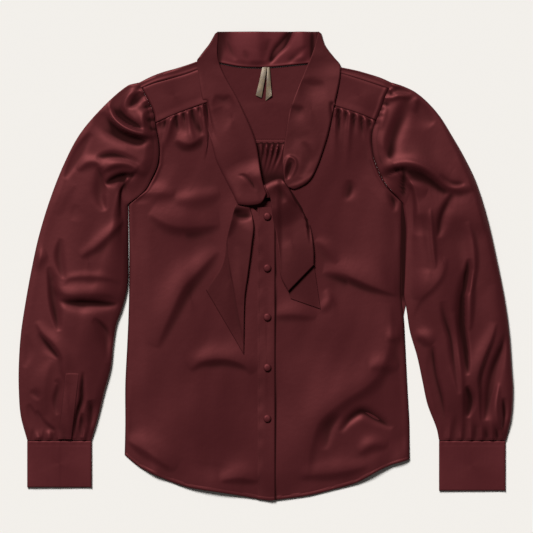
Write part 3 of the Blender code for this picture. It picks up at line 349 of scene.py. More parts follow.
END_RIGHT_FOLDS = [
    Fold([(-64, 44), (-58, 66), (-52, 86), (-46, 110)], 5.0, 5, 9),
    Fold([(-52, 88), (-40, 90), (-24, 90)], 3.0, 6, 9),
    Fold([(-46, 30), (-42, -10), (-38, -60)], 0.9, 9, 8),
    Fold([(-56, 80), (-40, 78), (-22, 76)], -3.8, 10, 6),
]
END_LEFT_FOLDS = [
    Fold([(18, 130), (34, 112), (48, 92)], 1.6, 9, 5),
    Fold([(14, 122), (22, 112), (30, 98)], -1.6, 7, 7),
    Fold([(10, 60), (22, 44), (40, 40)], -1.0, 12, 12),
]


def smooth_curve(points, per_span=20):
    """Dense points on a curve that passes through all the given points."""
    pts = np.array(points, dtype=float)
    ends = np.vstack([2 * pts[0] - pts[1], pts, 2 * pts[-1] - pts[-2]])
    out = []
    for i in range(1, len(ends) - 2):
        p0, p1, p2, p3 = ends[i - 1:i + 3]
        span = np.linalg.norm(p2 - p1)
        before = (p2 - p0) * span / (span + np.linalg.norm(p1 - p0))
        after = (p3 - p1) * span / (span + np.linalg.norm(p3 - p2))
        t = np.linspace(0, 1, per_span, endpoint=False)[:, None]
        out.append((2 * t**3 - 3 * t**2 + 1) * p1 + (t**3 - 2 * t**2 + t) * before
                   + (3 * t**2 - 2 * t**3) * p2 + (t**3 - t**2) * after)
    out.append(pts[-1:])
    return np.vstack(out)


def chain(*curves):
    """One dense curve from several smooth ones that meet in corners."""
    return np.vstack([smooth_curve(curve) for curve in curves])


def straight(start, end):
    return np.array([start, end], dtype=float)


def lengths(curve):
    steps = np.linalg.norm(np.diff(curve, axis=0), axis=1)
    return np.concatenate([[0.0], np.cumsum(steps)])


def along(curve, fractions):
    """Points at the given fractions of a curve's length."""
    total = lengths(curve)
    want = np.asarray(fractions) * total[-1]
    return np.stack([np.interp(want, total, curve[:, k]) for k in range(curve.shape[1])], axis=-1)


def fraction_at_x(curve, xs):
    """Fractions of the length at which a curve that runs towards +X reaches the given x."""
    total = lengths(curve)
    return np.interp(xs, curve[:, 0], total / total[-1])


def steps_for(length, spacing, finer_start=0.0, finer_end=0.0):
    """Fractions from 0 to 1 about spacing apart, with close rows in the first and last stretch, in mm."""
    count = max(2, round((length - finer_start - finer_end) / spacing))
    inner = np.linspace(finer_start, length - finer_end, count)
    start = np.arange(0.0, finer_start, 0.9)
    end = length - np.arange(0.0, finer_end, 0.9)[::-1]
    return np.concatenate([start, inner, end[end > inner[-1] + 0.1]]) / length


def patch(start, end, side_0, side_1, us, vs, end_us=None):
    """Grid of (x, y) between four edge curves: us runs from side_0 to side_1, vs from start to end."""
    us = np.asarray(us)
    s, e = along(start, us), along(end, us if end_us is None else end_us)
    a, b = along(side_0, vs)[:, None], along(side_1, vs)[:, None]
    u, v = us[None, :, None], np.asarray(vs)[:, None, None]
    corners = (1 - u) * (1 - v) * s[0] + u * (1 - v) * s[-1] + (1 - u) * v * e[0] + u * v * e[-1]
    return (1 - v) * s + v * e + (1 - u) * a + u * b - corners


def ease(t):
    """Smooth step from 0 to 1."""
    t = np.clip(t, 0.0, 1.0)
    return t * t * (3 - 2 * t)


def bell(distance, width):
    """1 in the middle, falling to almost nothing two widths away."""
    return np.exp(-(distance / width)**2)


def hem_y(x):
    """Where the hem is at x."""
    hem = np.array(HEM, dtype=float)
    return np.interp(x, hem[:, 0], hem[:, 1])


def round_off(distance, reach):
    """Quarter-round rise from an edge: 0 at the edge, 1 from reach onwards."""
    return np.sqrt(1 - (1 - np.clip(distance / reach, 0.0, 1.0))**2)


def fold_shape(x, y, folds):
    """Height that the folds give at each point."""
    height = np.zeros(np.shape(x))
    for fold in folds:
        line = smooth_curve(fold.path, 8)
        reach = 3.2 * max(fold.left, fold.right)
        low, high = line.min(axis=0) - reach, line.max(axis=0) + reach
        near = (x > low[0]) & (x < high[0]) & (y > low[1]) & (y < high[1])
        if not near.any():
            continue
        at = np.column_stack([x[near], y[near]])
        total = lengths(line)
        tangent = np.gradient(line, axis=0)
        tangent /= np.linalg.norm(tangent, axis=1, keepdims=True)
        rel = at[:, None] - line[None]
        nearest = np.argmin((rel**2).sum(axis=-1), axis=1)
        rel = rel[np.arange(len(at)), nearest]
        tan = tangent[nearest]
        forward = (rel * tan).sum(axis=1)
        across = tan[:, 0] * rel[:, 1] - tan[:, 1] * rel[:, 0]
        before_start = (nearest == 0) & (forward < 0)
        past_ends = before_start | (nearest == len(line) - 1) & (forward > 0)
        beyond = np.where(past_ends, forward, 0.0)
        run = np.clip((total[nearest] + forward) / total[-1], 0.0, 1.0)
        width = np.where(across > 0, fold.left, fold.right)
        if fold.rooted:
            taper = (1 - ease(run)) * bell(beyond, 3.0)
            width = width * (1 + 0.5 * run)
        else:
            middle = np.sin(math.pi * run)
            taper = middle**0.8
            width = width * (0.5 + 0.5 * middle)
        shape = taper * bell(across, width)
        height[near] += fold.height * shape
    return height


def rooted_folds(roots, directions, table):
    """Gathers that leave a seam: one fold for each row (position, height, half width, reach, drift)."""
    folds = []
    for root, direction, (_, height, width, reach, drift) in zip(roots, directions, table):
        side = np.array([-direction[1], direction[0]])
        middle = root + direction * reach * 0.5 + side * drift * 0.35
        end = root + direction * reach + side * drift
        folds.append(Fold([tuple(root), tuple(middle), tuple(end)], height, width, width, True))
    return folds


def seam_gathers(seam, table, downward):
    """Gathers along a seam curve, square to it or turned towards the given way."""
    curve = smooth_curve(seam)
    roots = along(curve, [row[0] for row in table])
    return rooted_folds(roots, [np.array(downward)] * len(table), table)


def drape(x, y):
    """Broad shallow undulations of cloth that lies loosely, in mm."""
    bend = 14 * np.sin(y / 61 + 0.8) + 9 * np.sin(y / 37 - x / 90)
    broad = np.sin((x + bend) / 23 + 0.9 * np.sin(y / 83)) * np.sin(y / 52 + x / 140 + 0.6)
    slanted = np.sin((0.8 * x + 0.6 * y) / 17 + 1.3 * np.sin((x - y) / 58)) * np.sin((x - 0.5 * y) / 71)
    small = np.sin(x / 7.3 + 2.1 * np.sin(y / 41)) * np.sin(y / 29 + 1.7 * np.sin(x / 33))
    return 1.3 * broad + 0.7 * slanted + 0.2 * small


FRONT_GATHERS = (seam_gathers(YOKE_SEAM_RIGHT, YOKE_GATHERS_RIGHT, (0.06, -1.0))
                 + seam_gathers(YOKE_SEAM_LEFT, YOKE_GATHERS_LEFT, (-0.04, -1.0)))


def body_edge_distance(x, y):
    """Distance in from the sides and armholes of the body."""
    right = np.array(SIDE_RIGHT + ARMHOLE_RIGHT[1:], dtype=float)
    left = np.array(SIDE_LEFT + ARMHOLE_LEFT[1:], dtype=float)
    from_right = x - np.interp(y, right[:, 1], right[:, 0])
    from_left = np.interp(y, left[:, 1], left[:, 0]) - x
    return np.clip(np.minimum(from_right, from_left), 0, None)


def front_top(x, y, gathered=1.0):
    """Top of the front layer. gathered is how much of the gathers under the yoke it has."""
    shoulder = np.array(SHOULDER_RIGHT + SHOULDER_LEFT, dtype=float)
    in_from_side = body_edge_distance(x, y)
    above_hem = np.clip(y - hem_y(x), 0, None)
    below_shoulder = np.clip(np.interp(x, shoulder[:, 0], shoulder[:, 1]) - y, 0, None)
    lift = 2.0 * ease(in_from_side / 34) * (0.2 + 0.8 * ease(above_hem / 45)) * ease(below_shoulder / 60)
    keep = ease(in_from_side / 12) * (0.35 + 0.65 * ease(above_hem / 24))
    creases = (fold_shape(x, y, FRONT_FOLDS) + drape(x, y)) * keep
    return FRONT_BASE + CLOTH + lift + creases + fold_shape(x, y, FRONT_GATHERS) * gathered


def front_top_at(x, y):
    """Top of the front layer at one point."""
    return float(front_top(np.array([float(x)]), np.array([float(y)]))[0])


def knot_rise(x, y):
    """How much higher the tie lies where it passes over the hidden layers of the knot."""
    reach = np.hypot((x - KNOT_CENTRE[0]) / KNOT_REACH[0], (y - KNOT_CENTRE[1]) / KNOT_REACH[1])
    return KNOT_RISE * (1 - ease((reach - 0.42) / 0.58))


def deselect():
    bpy.ops.object.select_all(action="DESELECT")


def apply_modifier(piece, name):
    bpy.context.view_layer.objects.active = piece
    bpy.ops.object.modifier_apply(modifier=name)


def select_points(mesh, chosen):
    """Selects the given points of a mesh, and nothing else, for an operator in edit mode."""
    mesh.polygons.foreach_set("select", np.zeros(len(mesh.polygons), dtype=bool))
    mesh.edges.foreach_set("select", np.zeros(len(mesh.edges), dtype=bool))
    mesh.vertices.foreach_set("select", chosen)


def painted_crease_shade(height, spread=26):
    """How far down each point of a grid lies in a fold, as painted shade for the cloth's colour: 0 on open
    cloth, 1 at the bottom of a sharp crease.
    """
    broad = height.copy()
    for _ in range(spread):
        padded = np.pad(broad, 1, mode="edge")
        broad = (padded[:-2, 1:-1] + padded[2:, 1:-1] + padded[1:-1, :-2] + padded[1:-1, 2:] + 2 * broad) / 6
    return ease((broad - height) / PAINTED_SHADE_FULL_DEPTH)


def place_points(piece, points):
    """Moves a mesh's points to the given places, in millimetres."""
    piece.data.vertices.foreach_set("co", (points * MM).reshape(-1).astype(np.float32))


def dress(piece, finish, node=None):
    """Smooths a small piece, gives it its finish, and puts it in place of a node."""
    piece.data.uv_layers[0].name = "Cloth"
    bpy.ops.object.shade_smooth()
    piece.data.materials.append(finish)
    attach(piece, "root")
    if node:
        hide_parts(node)


def cloth_shell(node, grid, finish, wall, joined=False, missing=None, painted_gap_shade=0.0):
    """A thin shell of cloth in place of a node, on a grid of points of its outer face, in millimetres.

    joined closes the last column onto the first, missing marks points that have no cloth, and deep is painted
    shade in the colour of cloth that lies in a gap between layers; the darker of it and the painted shade in
    the cloth's creases is taken. The cloth's own measures go in its UV map, in metres.
    """
    rows, columns = grid.shape[:2]
    deselect()
    bpy.ops.mesh.primitive_grid_add(x_subdivisions=columns - 1, y_subdivisions=rows - 1, size=1)
    piece = bpy.context.object
    piece.name = piece.data.name = node + "_cloth"
    mesh = piece.data
    place_points(piece, grid)
    across = np.linalg.norm(np.diff(grid, axis=1, prepend=grid[:, :1]), axis=-1).cumsum(axis=1)
    down = np.linalg.norm(np.diff(grid, axis=0, prepend=grid[:1]), axis=-1).cumsum(axis=0)
    flat = np.dstack([across, np.broadcast_to(down.mean(axis=1)[:, None], across.shape)]).reshape(-1, 2) * MM
    corners = np.empty(len(mesh.loops), dtype=np.int32)
    mesh.loops.foreach_get("vertex_index", corners)
    mesh.uv_layers[0].name = "Cloth"
    mesh.uv_layers["Cloth"].data.foreach_set("uv", flat[corners].reshape(-1).astype(np.float32))
    # Painted shade: this attribute darkens the cloth's colour in its creases and, more, in gaps between
    # layers
    painted_shade = mesh.attributes.new("PaintedShade", "FLOAT", "POINT")
    shade = np.maximum(painted_crease_shade(grid[..., 2]), painted_gap_shade)
    painted_shade.data.foreach_set("value", shade.reshape(-1).astype(np.float32))
    if joined:
        bpy.ops.object.mode_set(mode="EDIT")
        bpy.ops.mesh.select_all(action="SELECT")
        bpy.ops.mesh.remove_doubles(threshold=1e-6)
        bpy.ops.object.mode_set(mode="OBJECT")
    if missing is not None:
        select_points(mesh, missing.reshape(-1))
        bpy.ops.object.mode_set(mode="EDIT")
        bpy.ops.mesh.delete(type="VERT")
        bpy.ops.object.mode_set(mode="OBJECT")
    shell = piece.modifiers.new("Wall", "SOLIDIFY")
    shell.thickness = wall * MM
    shell.offset = -1.0
    apply_modifier(piece, "Wall")
    bpy.ops.object.shade_smooth_by_angle(angle=math.radians(55))
    mesh.materials.append(finish)
    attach(piece, "root")
    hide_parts(node)
    return piece


class Wire:
    """A shader socket that takes part in Python expressions."""

    def __init__(self, finish, socket):
        self.finish = finish
        self.socket = socket

    def _math(self, operation, first, second):
        return self.finish.node("ShaderNodeMath", {"operation": operation}, {0: first, 1: second})

    def __add__(self, other):
        return self._math("ADD", self, other)

    __radd__ = __add__

    def __sub__(self, other):
        return self._math("SUBTRACT", self, other)

    def __rsub__(self, other):
        return self._math("SUBTRACT", other, self)

    def __mul__(self, other):
        return self._math("MULTIPLY", self, other)

    __rmul__ = __mul__


class Finish:
    """A material whose nodes are added one call at a time."""

    def __init__(self, name):
        self.material = bpy.data.materials.new(name)
        self.material.use_nodes = True
        self.tree = self.material.node_tree
        self.shader = self.tree.nodes["Principled BSDF"]

    def put(self, socket, value):
        if isinstance(value, Wire):
            self.tree.links.new(value.socket, socket)
        else:
            socket.default_value = value

    def node(self, kind, settings=None, inputs=None, output=0):
        made = self.tree.nodes.new(kind)
        for name, value in (settings or {}).items():
            setattr(made, name, value)
        for name, value in (inputs or {}).items():
            self.put(made.inputs[name], value)
        return Wire(self, made.outputs[output])

    def scaled(self, vector, scale):
        return self.node("ShaderNodeMapping", None, {"Vector": vector, "Scale": scale})

    def noise(self, vector, scale, detail=2.0):
        return self.node("ShaderNodeTexNoise", None, {"Vector": vector, "Scale": scale, "Detail": detail})

    def blend(self, factor, first, second):
        made = self.tree.nodes.new("ShaderNodeMix")
        made.data_type = "RGBA"
        self.put(made.inputs["Factor"], factor)
        self.put(made.inputs[6], (*first, 1.0))
        self.put(made.inputs[7], (*second, 1.0))
        return Wire(self, made.outputs[2])

    def bump(self, height, distance, under=None):
        inputs = {"Height": height, "Distance": distance, "Strength": 1.0}
        if under is not None:
            inputs["Normal"] = under
        return self.node("ShaderNodeBump", None, inputs)

    def surface(self, **values):
        for name, value in values.items():
            self.put(self.shader.inputs[name.replace("_", " ")], value)
        return self.material


def satin_finish(name, settings, shade=1.0):
    """Polyester satin: soft clouds of colour, fine warp yarns, small creases, coloured sheen, painted crease
    shade.
    """
    finish = Finish(name)
    place = finish.node("ShaderNodeTexCoord", output=3)
    weave_map = finish.node("ShaderNodeUVMap", {"uv_map": "Cloth"})
    clouds = finish.noise(place, 14.0, 3.0)
    slubs = finish.noise(finish.scaled(weave_map, (700.0, 24.0, 1.0)), 1.0, 1.0)
    yarns = finish.node("ShaderNodeTexWave", {"bands_direction": "DIAGONAL"},
                        {"Vector": finish.scaled(weave_map, (1000.0 / settings.yarn_pitch, 250.0, 1.0)),
                         "Scale": 0.16, "Distortion": 0.6}, output=1)
    creases = finish.noise(place, 70.0, 2.0)
    # shade scales this copy of the satin as a whole: above 1 it is painted light, below 1 painted shade
    red, green, blue = (value * shade for value in settings.satin_colour)
    tone = clouds * 0.7 + slubs * 0.3
    colour = finish.blend(tone, (red * 0.86, green * 0.84, blue * 0.84),
                          (red * 1.14, green * 1.16, blue * 1.16))
    # Painted shade: the colour is darkened by the cloth's attribute of painted shade in creases and gaps,
    # which also makes it rougher there
    painted_shade = finish.node("ShaderNodeAttribute", {"attribute_name": "PaintedShade"}, output=2)
    colour = finish.node("ShaderNodeVectorMath", {"operation": "SCALE"},
                         {0: colour, "Scale": 1.0 - painted_shade * settings.painted_shade_strength})
    roughness = settings.satin_roughness - 0.05 + clouds * 0.06 + slubs * 0.04 + painted_shade * 0.4
    fine = finish.bump(yarns, 0.000012)
    normal = finish.bump(creases, 0.00022, fine)
    return finish.surface(Base_Color=colour, Roughness=roughness, Normal=normal, Specular_IOR_Level=0.5,
                          Specular_Tint=(1.0, 0.25, 0.25, 1.0), Anisotropic=0.2)


def ribbon_finish(settings):
    """Narrow taupe ribbon with a gold sheen and a ribbed weave."""
    finish = Finish("gold_ribbon")
    place = finish.node("ShaderNodeTexCoord", output=3)
    weave_map = finish.node("ShaderNodeUVMap", {"uv_map": "Cloth"})
    ribs = finish.node("ShaderNodeTexWave", {"bands_direction": "Y"},
                       {"Vector": finish.scaled(weave_map, (1.0, 1000.0, 1.0)), "Scale": 0.35}, output=1)
    patches = finish.noise(place, 160.0, 1.0)
    red, green, blue = settings.ribbon_colour
    colour = finish.blend(patches * 1.4 - 0.2, (red * 0.75, green * 0.8, blue * 0.95),
                          (red * 1.35, green * 1.2, blue * 0.85))
    return finish.surface(Base_Color=colour, Roughness=0.34 + patches * 0.12, Metallic=0.25,
                          Normal=finish.bump(ribs, 0.00006), Sheen_Weight=0.1)


def floor_finish(settings):
    """Pale seamless paper with a barely visible tooth."""
    finish = Finish("pale_paper")
    place = finish.node("ShaderNodeTexCoord", output=3)
    tooth = finish.noise(place, 900.0, 2.0)
    red, green, blue = settings.floor_colour
    colour = finish.blend(tooth, (red * 0.995, green * 0.995, blue * 0.995), (red, green, blue))
    return finish.surface(Base_Color=colour, Roughness=0.9 + tooth * 0.05, Specular_IOR_Level=0.2)


def armhole_up_to(armhole, height):
    """The armhole from the underarm up to the given y."""
    curve = smooth_curve(armhole)
    return curve[curve[:, 1] < height + 0.001]


def hem_lift(x, above_hem):
    """How far the hem stands off the surface, at the places where it throws a shadow."""
    lift = sum(rise * bell(x - at, reach) for at, rise, reach in HEM_LIFTS)
    return lift * (1 - ease(above_hem / 42))


def front_edges(x, y, height):
    """Lowers a front's height where it meets the side, armhole, yoke and hem."""
    from_side = body_edge_distance(x, y)
    above_hem = np.clip(y - hem_y(x), 0, None)
    at_armhole = ease((y - 96) / 14)
    side_roll = -1.9 * (1 - round_off(from_side, 7.0)) * (1 - at_armhole)
    armhole_groove = 0.9 * bell(from_side - 4.5, 2.5) - 1.2 * bell(from_side, 2.0)
    hem_turn = 0.5 * (above_hem < 5.2) - 0.35 * bell(above_hem - 4.6, 0.7)
    hem_roll = -1.2 * (1 - round_off(above_hem, 1.6))
    return height + side_roll + armhole_groove * at_armhole + hem_turn + hem_roll + hem_lift(x, above_hem)


def make_front(side, settings, finish):
    """One front: gathered under its yoke, with the neck edge under the tie and the centre under the band."""
    yoke_share = 0.36
    hem = smooth_curve(HEM)
    meet = fraction_at_x(hem, [FRONTS_MEET_X])[0]
    columns = np.linspace(0, 1, 101)
    if side == "right":
        start = along(hem, np.linspace(0, meet, 120))
        outer = np.vstack([smooth_curve(SIDE_RIGHT), armhole_up_to(ARMHOLE_RIGHT, 222)[1:]])
        top = chain(YOKE_SEAM_RIGHT, FRONT_NECK_RIGHT)
        split = lengths(smooth_curve(YOKE_SEAM_RIGHT))[-1] / lengths(top)[-1]
        end_us = np.interp(columns, [0, yoke_share, 1], [0, split, 1])
        sides = (outer, straight(start[-1], top[-1]))
        seam_columns = columns <= yoke_share
    else:
        start = along(hem, np.linspace(meet, 1, 120)) + (SEAM_GAP, 0)
        outer = np.vstack([smooth_curve(SIDE_LEFT), armhole_up_to(ARMHOLE_LEFT, 226)[1:]])
        top = chain(FRONT_NECK_LEFT[::-1], YOKE_SEAM_LEFT)
        split = lengths(smooth_curve(YOKE_SEAM_LEFT))[-1] / lengths(top)[-1]
        end_us = 1 - np.interp(columns, [0, yoke_share, 1], [0, split, 1])[::-1]
        sides = (straight(start[0], top[0]), outer)
        seam_columns = columns >= 1 - yoke_share
    rows = steps_for(560.0, FINE, finer_start=7.0, finer_end=4.0)
    points = patch(start, top, *sides, columns, rows, end_us)
    x, y = points[..., 0], points[..., 1]
    below_seam = y[-1] - y
    height = front_top(x, y, ease(below_seam / 7.0) * seam_columns)
    grid = np.dstack([points, front_edges(x, y, height)])
    grid[..., 2] -= 0.9 * (1 - ease(below_seam / 3.5)) * seam_columns
    grid[-1, seam_columns, 1] += settings.seam_overlap / MM
    # Painted shadow: the left front's colour is darkened in a strip along the button band's raised right edge
    painted_band_shadow = ease((BAND_RIGHT_X + 2.6 - x) / 1.2) * (y < BAND_TOP_Y) * (side == "left")
    cloth_shell("front_" + side, grid, finish, settings.cloth_wall / MM,
                painted_gap_shade=painted_band_shadow)


def make_back_panel(finish):
    """The back below its yoke: flat on the surface, with the gathers that show inside the neckline."""
    bottom = smooth_curve([(x * 0.998, y + 1.2) for x, y in HEM])
    ends = (-165.4, BACK_YOKE_SEAM_Y - SEAM_GAP), (163.6, BACK_YOKE_SEAM_Y - SEAM_GAP)
    right = chain([(x + 0.7, y) for x, y in SIDE_RIGHT], [p for p in ARMHOLE_RIGHT if p[1] < 187] + [ends[0]])
    # On the left the back panel reaches 8.4 mm past the side above y = -60, under the gap beside the sleeve,
    # where it is darkened as painted shade
    left = chain([(x + (8.4 if y > -60 else -0.7), y) for x, y in SIDE_LEFT],
                 [p for p in ARMHOLE_LEFT if p[1] < 187] + [ends[1]])
    us = np.concatenate([np.linspace(0, 0.36, 22)[:-1], np.linspace(0.36, 0.68, 86),
                         np.linspace(0.68, 1, 20)[1:]])
    vs = np.concatenate([np.linspace(0, 0.66, 50)[:-1], np.linspace(0.66, 1, 96)])
    points = patch(bottom, straight(*ends), right, left, us, vs)
    roots = [np.array([x, BACK_YOKE_SEAM_Y]) for x, *_ in BACK_GATHERS]
    gathers = rooted_folds(roots, [np.array([0.0, -1.0])] * len(roots), BACK_GATHERS)
    lift = fold_shape(points[..., 0], points[..., 1], gathers)
    below = BACK_YOKE_SEAM_Y - points[..., 1]
    inside_neck = bell(points[..., 0] - 6, 17) * ease((points[..., 1] - 112) / 14)
    bulge = 5.2 * ease(below / 13.0) * (1 - ease((below - 20) / 40))
    height = CLOTH + bulge * inside_neck + lift * ease(inside_neck / 0.3) * (0.3 + 0.7 * ease(below / 4.0))
    above_hem = np.clip(points[..., 1] - points[:1, :, 1], 0, None)
    height = np.maximum(height, 1.05) + hem_lift(points[..., 0], above_hem)
    x, y = points[..., 0], points[..., 1]
    # Painted shade on the back panel: darker in the gap beside the left sleeve, beside and under the right
    # tie band, low in the neck above the knot and just below the back yoke's edge
    side = np.array(SIDE_LEFT, dtype=float)
    band = smooth_curve(BAND_INNER_RIGHT)[::-1]
    past_side = x - np.interp(y, side[:, 1], side[:, 0])
    painted_sleeve_gap_shade = ease(past_side + 1.5) * ease((y + 58) / 10) * (y < 104)
    painted_band_shadow = ease((np.interp(y, band[:, 1], band[:, 0]) + 8.0 - x) / 6.0) * (y > 100)
    painted_knot_shadow = ease((156 - y) / 20) * (y > 100)
    painted_yoke_shadow = ease((y - BACK_YOKE_SEAM_Y + 4.0) / 2.0)
    painted_gap_shade = np.max([painted_sleeve_gap_shade, 0.9 * painted_band_shadow, 0.9 * painted_knot_shadow, painted_yoke_shadow], axis=0)
    cloth_shell("back_panel", np.dstack([points, height]), finish, 1.0, painted_gap_shade=painted_gap_shade)


def make_back_yoke(settings, finish):
    """Back yoke: flat inside the neckline, and turned over both shoulders to the front seam."""
    top = chain(SHOULDER_RIGHT, BACK_NECK[1:-1], SHOULDER_LEFT)
    overlap = settings.seam_overlap / MM
    low_y = BACK_YOKE_SEAM_Y - overlap
    bottom = straight((-166, low_y), (164, low_y))
    right = smooth_curve([(-166, low_y)] + [p for p in ARMHOLE_RIGHT if p[1] > BACK_YOKE_SEAM_Y])
    left = smooth_curve([(164, low_y)] + [p for p in ARMHOLE_LEFT if p[1] > BACK_YOKE_SEAM_Y + 3])
    shoulder = 40
    neck_columns = 71
    shoulder_right = np.linspace(-197, -101, shoulder)
    shoulder_left = np.linspace(112, 195, shoulder)
    neck = np.linspace(-101, 112, neck_columns + 2)[1:-1]
    us = fraction_at_x(top, np.concatenate([shoulder_right, neck, shoulder_left]))
    vs = np.concatenate([np.linspace(0, 0.06, 8)[:-1], np.linspace(0.06, 1, 44)])
    points = patch(bottom, top, right, left, us, vs)
    above = points[..., 1] - low_y
    lifted = 0.3 * (1 - ease(above / 9.0)) - 0.3 * bell(above - 5.0, 0.8)
    rows = [np.dstack([points, lifted])[:-1]]
    seam = np.vstack([along(smooth_curve(SHOULDER_SEAM_RIGHT), np.linspace(0, 1, shoulder)),
                      np.zeros((neck_columns, 2)),
                      along(smooth_curve(SHOULDER_SEAM_LEFT), np.linspace(0, 1, shoulder))])
    edge = points[-1]
    radius = (FRONT_BASE + CLOTH + 0.4) / 2
    inward = np.array([0.0, -1.0])
    for angle in np.linspace(-90, 90, 9):
        back = radius * (1 - math.cos(math.radians(angle)))
        height = radius * (1 + math.sin(math.radians(angle)))
        rows.append(np.column_stack([edge + inward * back, np.full(len(edge), height)])[None])
    start = edge + inward * radius
    seam = seam + np.array([0.0, -overlap * 0.6])
    for share in np.linspace(0, 1, 10)[1:]:
        at = start + (seam - start) * share
        raised = 0.4 + 0.5 * ease((share - 0.5) / 0.3) - 0.7 * ease((share - 0.88) / 0.12)
        rows.append(np.column_stack([at, front_top(at[:, 0], at[:, 1]) + raised])[None])
    grid = np.vstack(rows)
    hidden = np.zeros(grid.shape[:2], dtype=bool)
    hidden[len(vs):, shoulder:shoulder + neck_columns] = True
    cloth_shell("back_yoke", grid[::-1], finish, 0.9, missing=hidden[::-1])


def make_front_yoke(side, settings, finish):
    """Front yoke: from the shoulder seam down to the gathered seam, which it overlaps a little."""
    overlap = settings.seam_overlap / MM
    if side == "right":
        seams = YOKE_SEAM_RIGHT, SHOULDER_SEAM_RIGHT
        armhole = ARMHOLE_RIGHT
        neck = [(-91, 254), (-98, 282), (-102, 306)]
    else:
        seams = YOKE_SEAM_LEFT, SHOULDER_SEAM_LEFT
        armhole = ARMHOLE_LEFT
        neck = [(98, 251), (103, 278), (107, 302)]
    bottom = smooth_curve(seams[0]) + (0.0, -overlap * 0.5)
    top = smooth_curve(seams[1]) + (0.0, -SEAM_GAP)
    outer = smooth_curve(armhole)
    outer = outer[(outer[:, 1] > seams[0][0 if side == "right" else -1][1]) & (outer[:, 1] < 276)]
    inner = smooth_curve(neck)
    outer[0], outer[-1] = (bottom[0], top[0]) if side == "right" else (bottom[-1], top[-1])
    inner[0], inner[-1] = (bottom[-1], top[-1]) if side == "right" else (bottom[0], top[0])
    first, last = (outer, inner) if side == "right" else (inner, outer)
    rows = steps_for(58.0, FINE, finer_start=7.0, finer_end=3.0)
    points = patch(bottom, top, first, last, np.linspace(0, 1, 46), rows)
    x, y = points[..., 0], points[..., 1]
    above_seam = y - y[0]
    below_shoulder = y[-1] - y
    height = front_top(x, y, 0.0) * 0.5 + (FRONT_BASE + CLOTH + 1.4) * 0.5
    height = height + 0.8 * (1 - ease(above_seam / 12)) - 0.9 * (1 - round_off(above_seam, 1.5))
    height -= 0.7 * bell(below_shoulder, 2.0)
    from_side = body_edge_distance(x, y)
    height += 0.7 * bell(from_side - 4.5, 2.5) - 1.2 * bell(from_side, 2.0)
    cloth_shell("front_yoke_" + side, np.dstack([points, height]), finish, settings.cloth_wall / MM)


def make_button_band(finish):
    """Placket on the right front: flush on its left, a clean step on its right."""
    width = BAND_RIGHT_X - BAND_LEFT_X
    xs = BAND_LEFT_X + width * steps_for(width, 1.4, finer_start=2.7, finer_end=2.7)
    low = hem_y(xs) - 0.6
    rows = steps_for(450.0, FINE, finer_start=6.0, finer_end=3.0)
    grid = np.zeros((len(rows), len(xs), 3))
    grid[..., 0] = xs
    grid[..., 1] = low + (BAND_TOP_Y - low) * rows[:, None]
    x, y = grid[..., 0], grid[..., 1]
    step = 0.35 + 2.0 * ease((x - BAND_LEFT_X) / width)
    stitch = -0.12 * bell(x - BAND_LEFT_X - 2.4, 1.0)
    right_edge = -0.9 * (1 - round_off(BAND_RIGHT_X - x, 1.4))
    left_edge = -0.3 * (1 - ease((x - BAND_LEFT_X) / 2.0))
    above_hem = y - low
    hem_turn = 0.3 * (above_hem < 5.2) - 1.0 * (1 - round_off(above_hem, 1.6))
    puckers = 0.22 * np.sin(y / 5.3 + 2 * np.sin(y / 37)) * bell(x - BAND_LEFT_X - 4, 5)
    relief = step + stitch + right_edge + left_edge + hem_turn + puckers
    grid[..., 2] = front_top(x, y) + relief + hem_lift(x, above_hem)
    cloth_shell("button_band", grid, finish, 0.9)


def make_buttons(finish):
    """Covered buttons: a dome of cloth pulled round a shell, pleated where it turns under."""
    radius = BUTTON_DIAMETER / 2
    profile = smooth_curve([(0, 4.3), (2.4, 4.2), (4.4, 3.7), (5.6, 2.9), (6.0, 2.0), (5.7, 1.1), (5.0, 0.5),
                            (3.0, 0.3), (0, 0.3)])
    for number, y in enumerate(BUTTON_YS, start=1):
        deselect()
        bpy.ops.mesh.primitive_uv_sphere_add(segments=48, ring_count=28, radius=1.0)
        piece = bpy.context.object
        piece.name = piece.data.name = "covered_button_%d" % number
        ball = np.array([vertex.co[:] for vertex in piece.data.vertices])
        down = np.arccos(np.clip(ball[:, 2], -1, 1)) / math.pi
        turn = np.arctan2(ball[:, 1], ball[:, 0])
        section = along(profile, down)
        pleats = 1 + 0.018 * np.sin(13 * turn + number) * ease((down - 0.35) / 0.3)
        around = section[:, 0] * pleats * radius / 6.0
        seat = front_top_at(BUTTON_X, y) + 1.6
        dent = 0.12 * np.sin(2 * turn + number * 1.7) * bell(down - 0.25, 0.12)
        points = np.column_stack([BUTTON_X + around * np.cos(turn), y + around * np.sin(turn),
                                  seat + section[:, 1] + dent])
        place_points(piece, points)
        dress(piece, finish, "button_%d" % number)


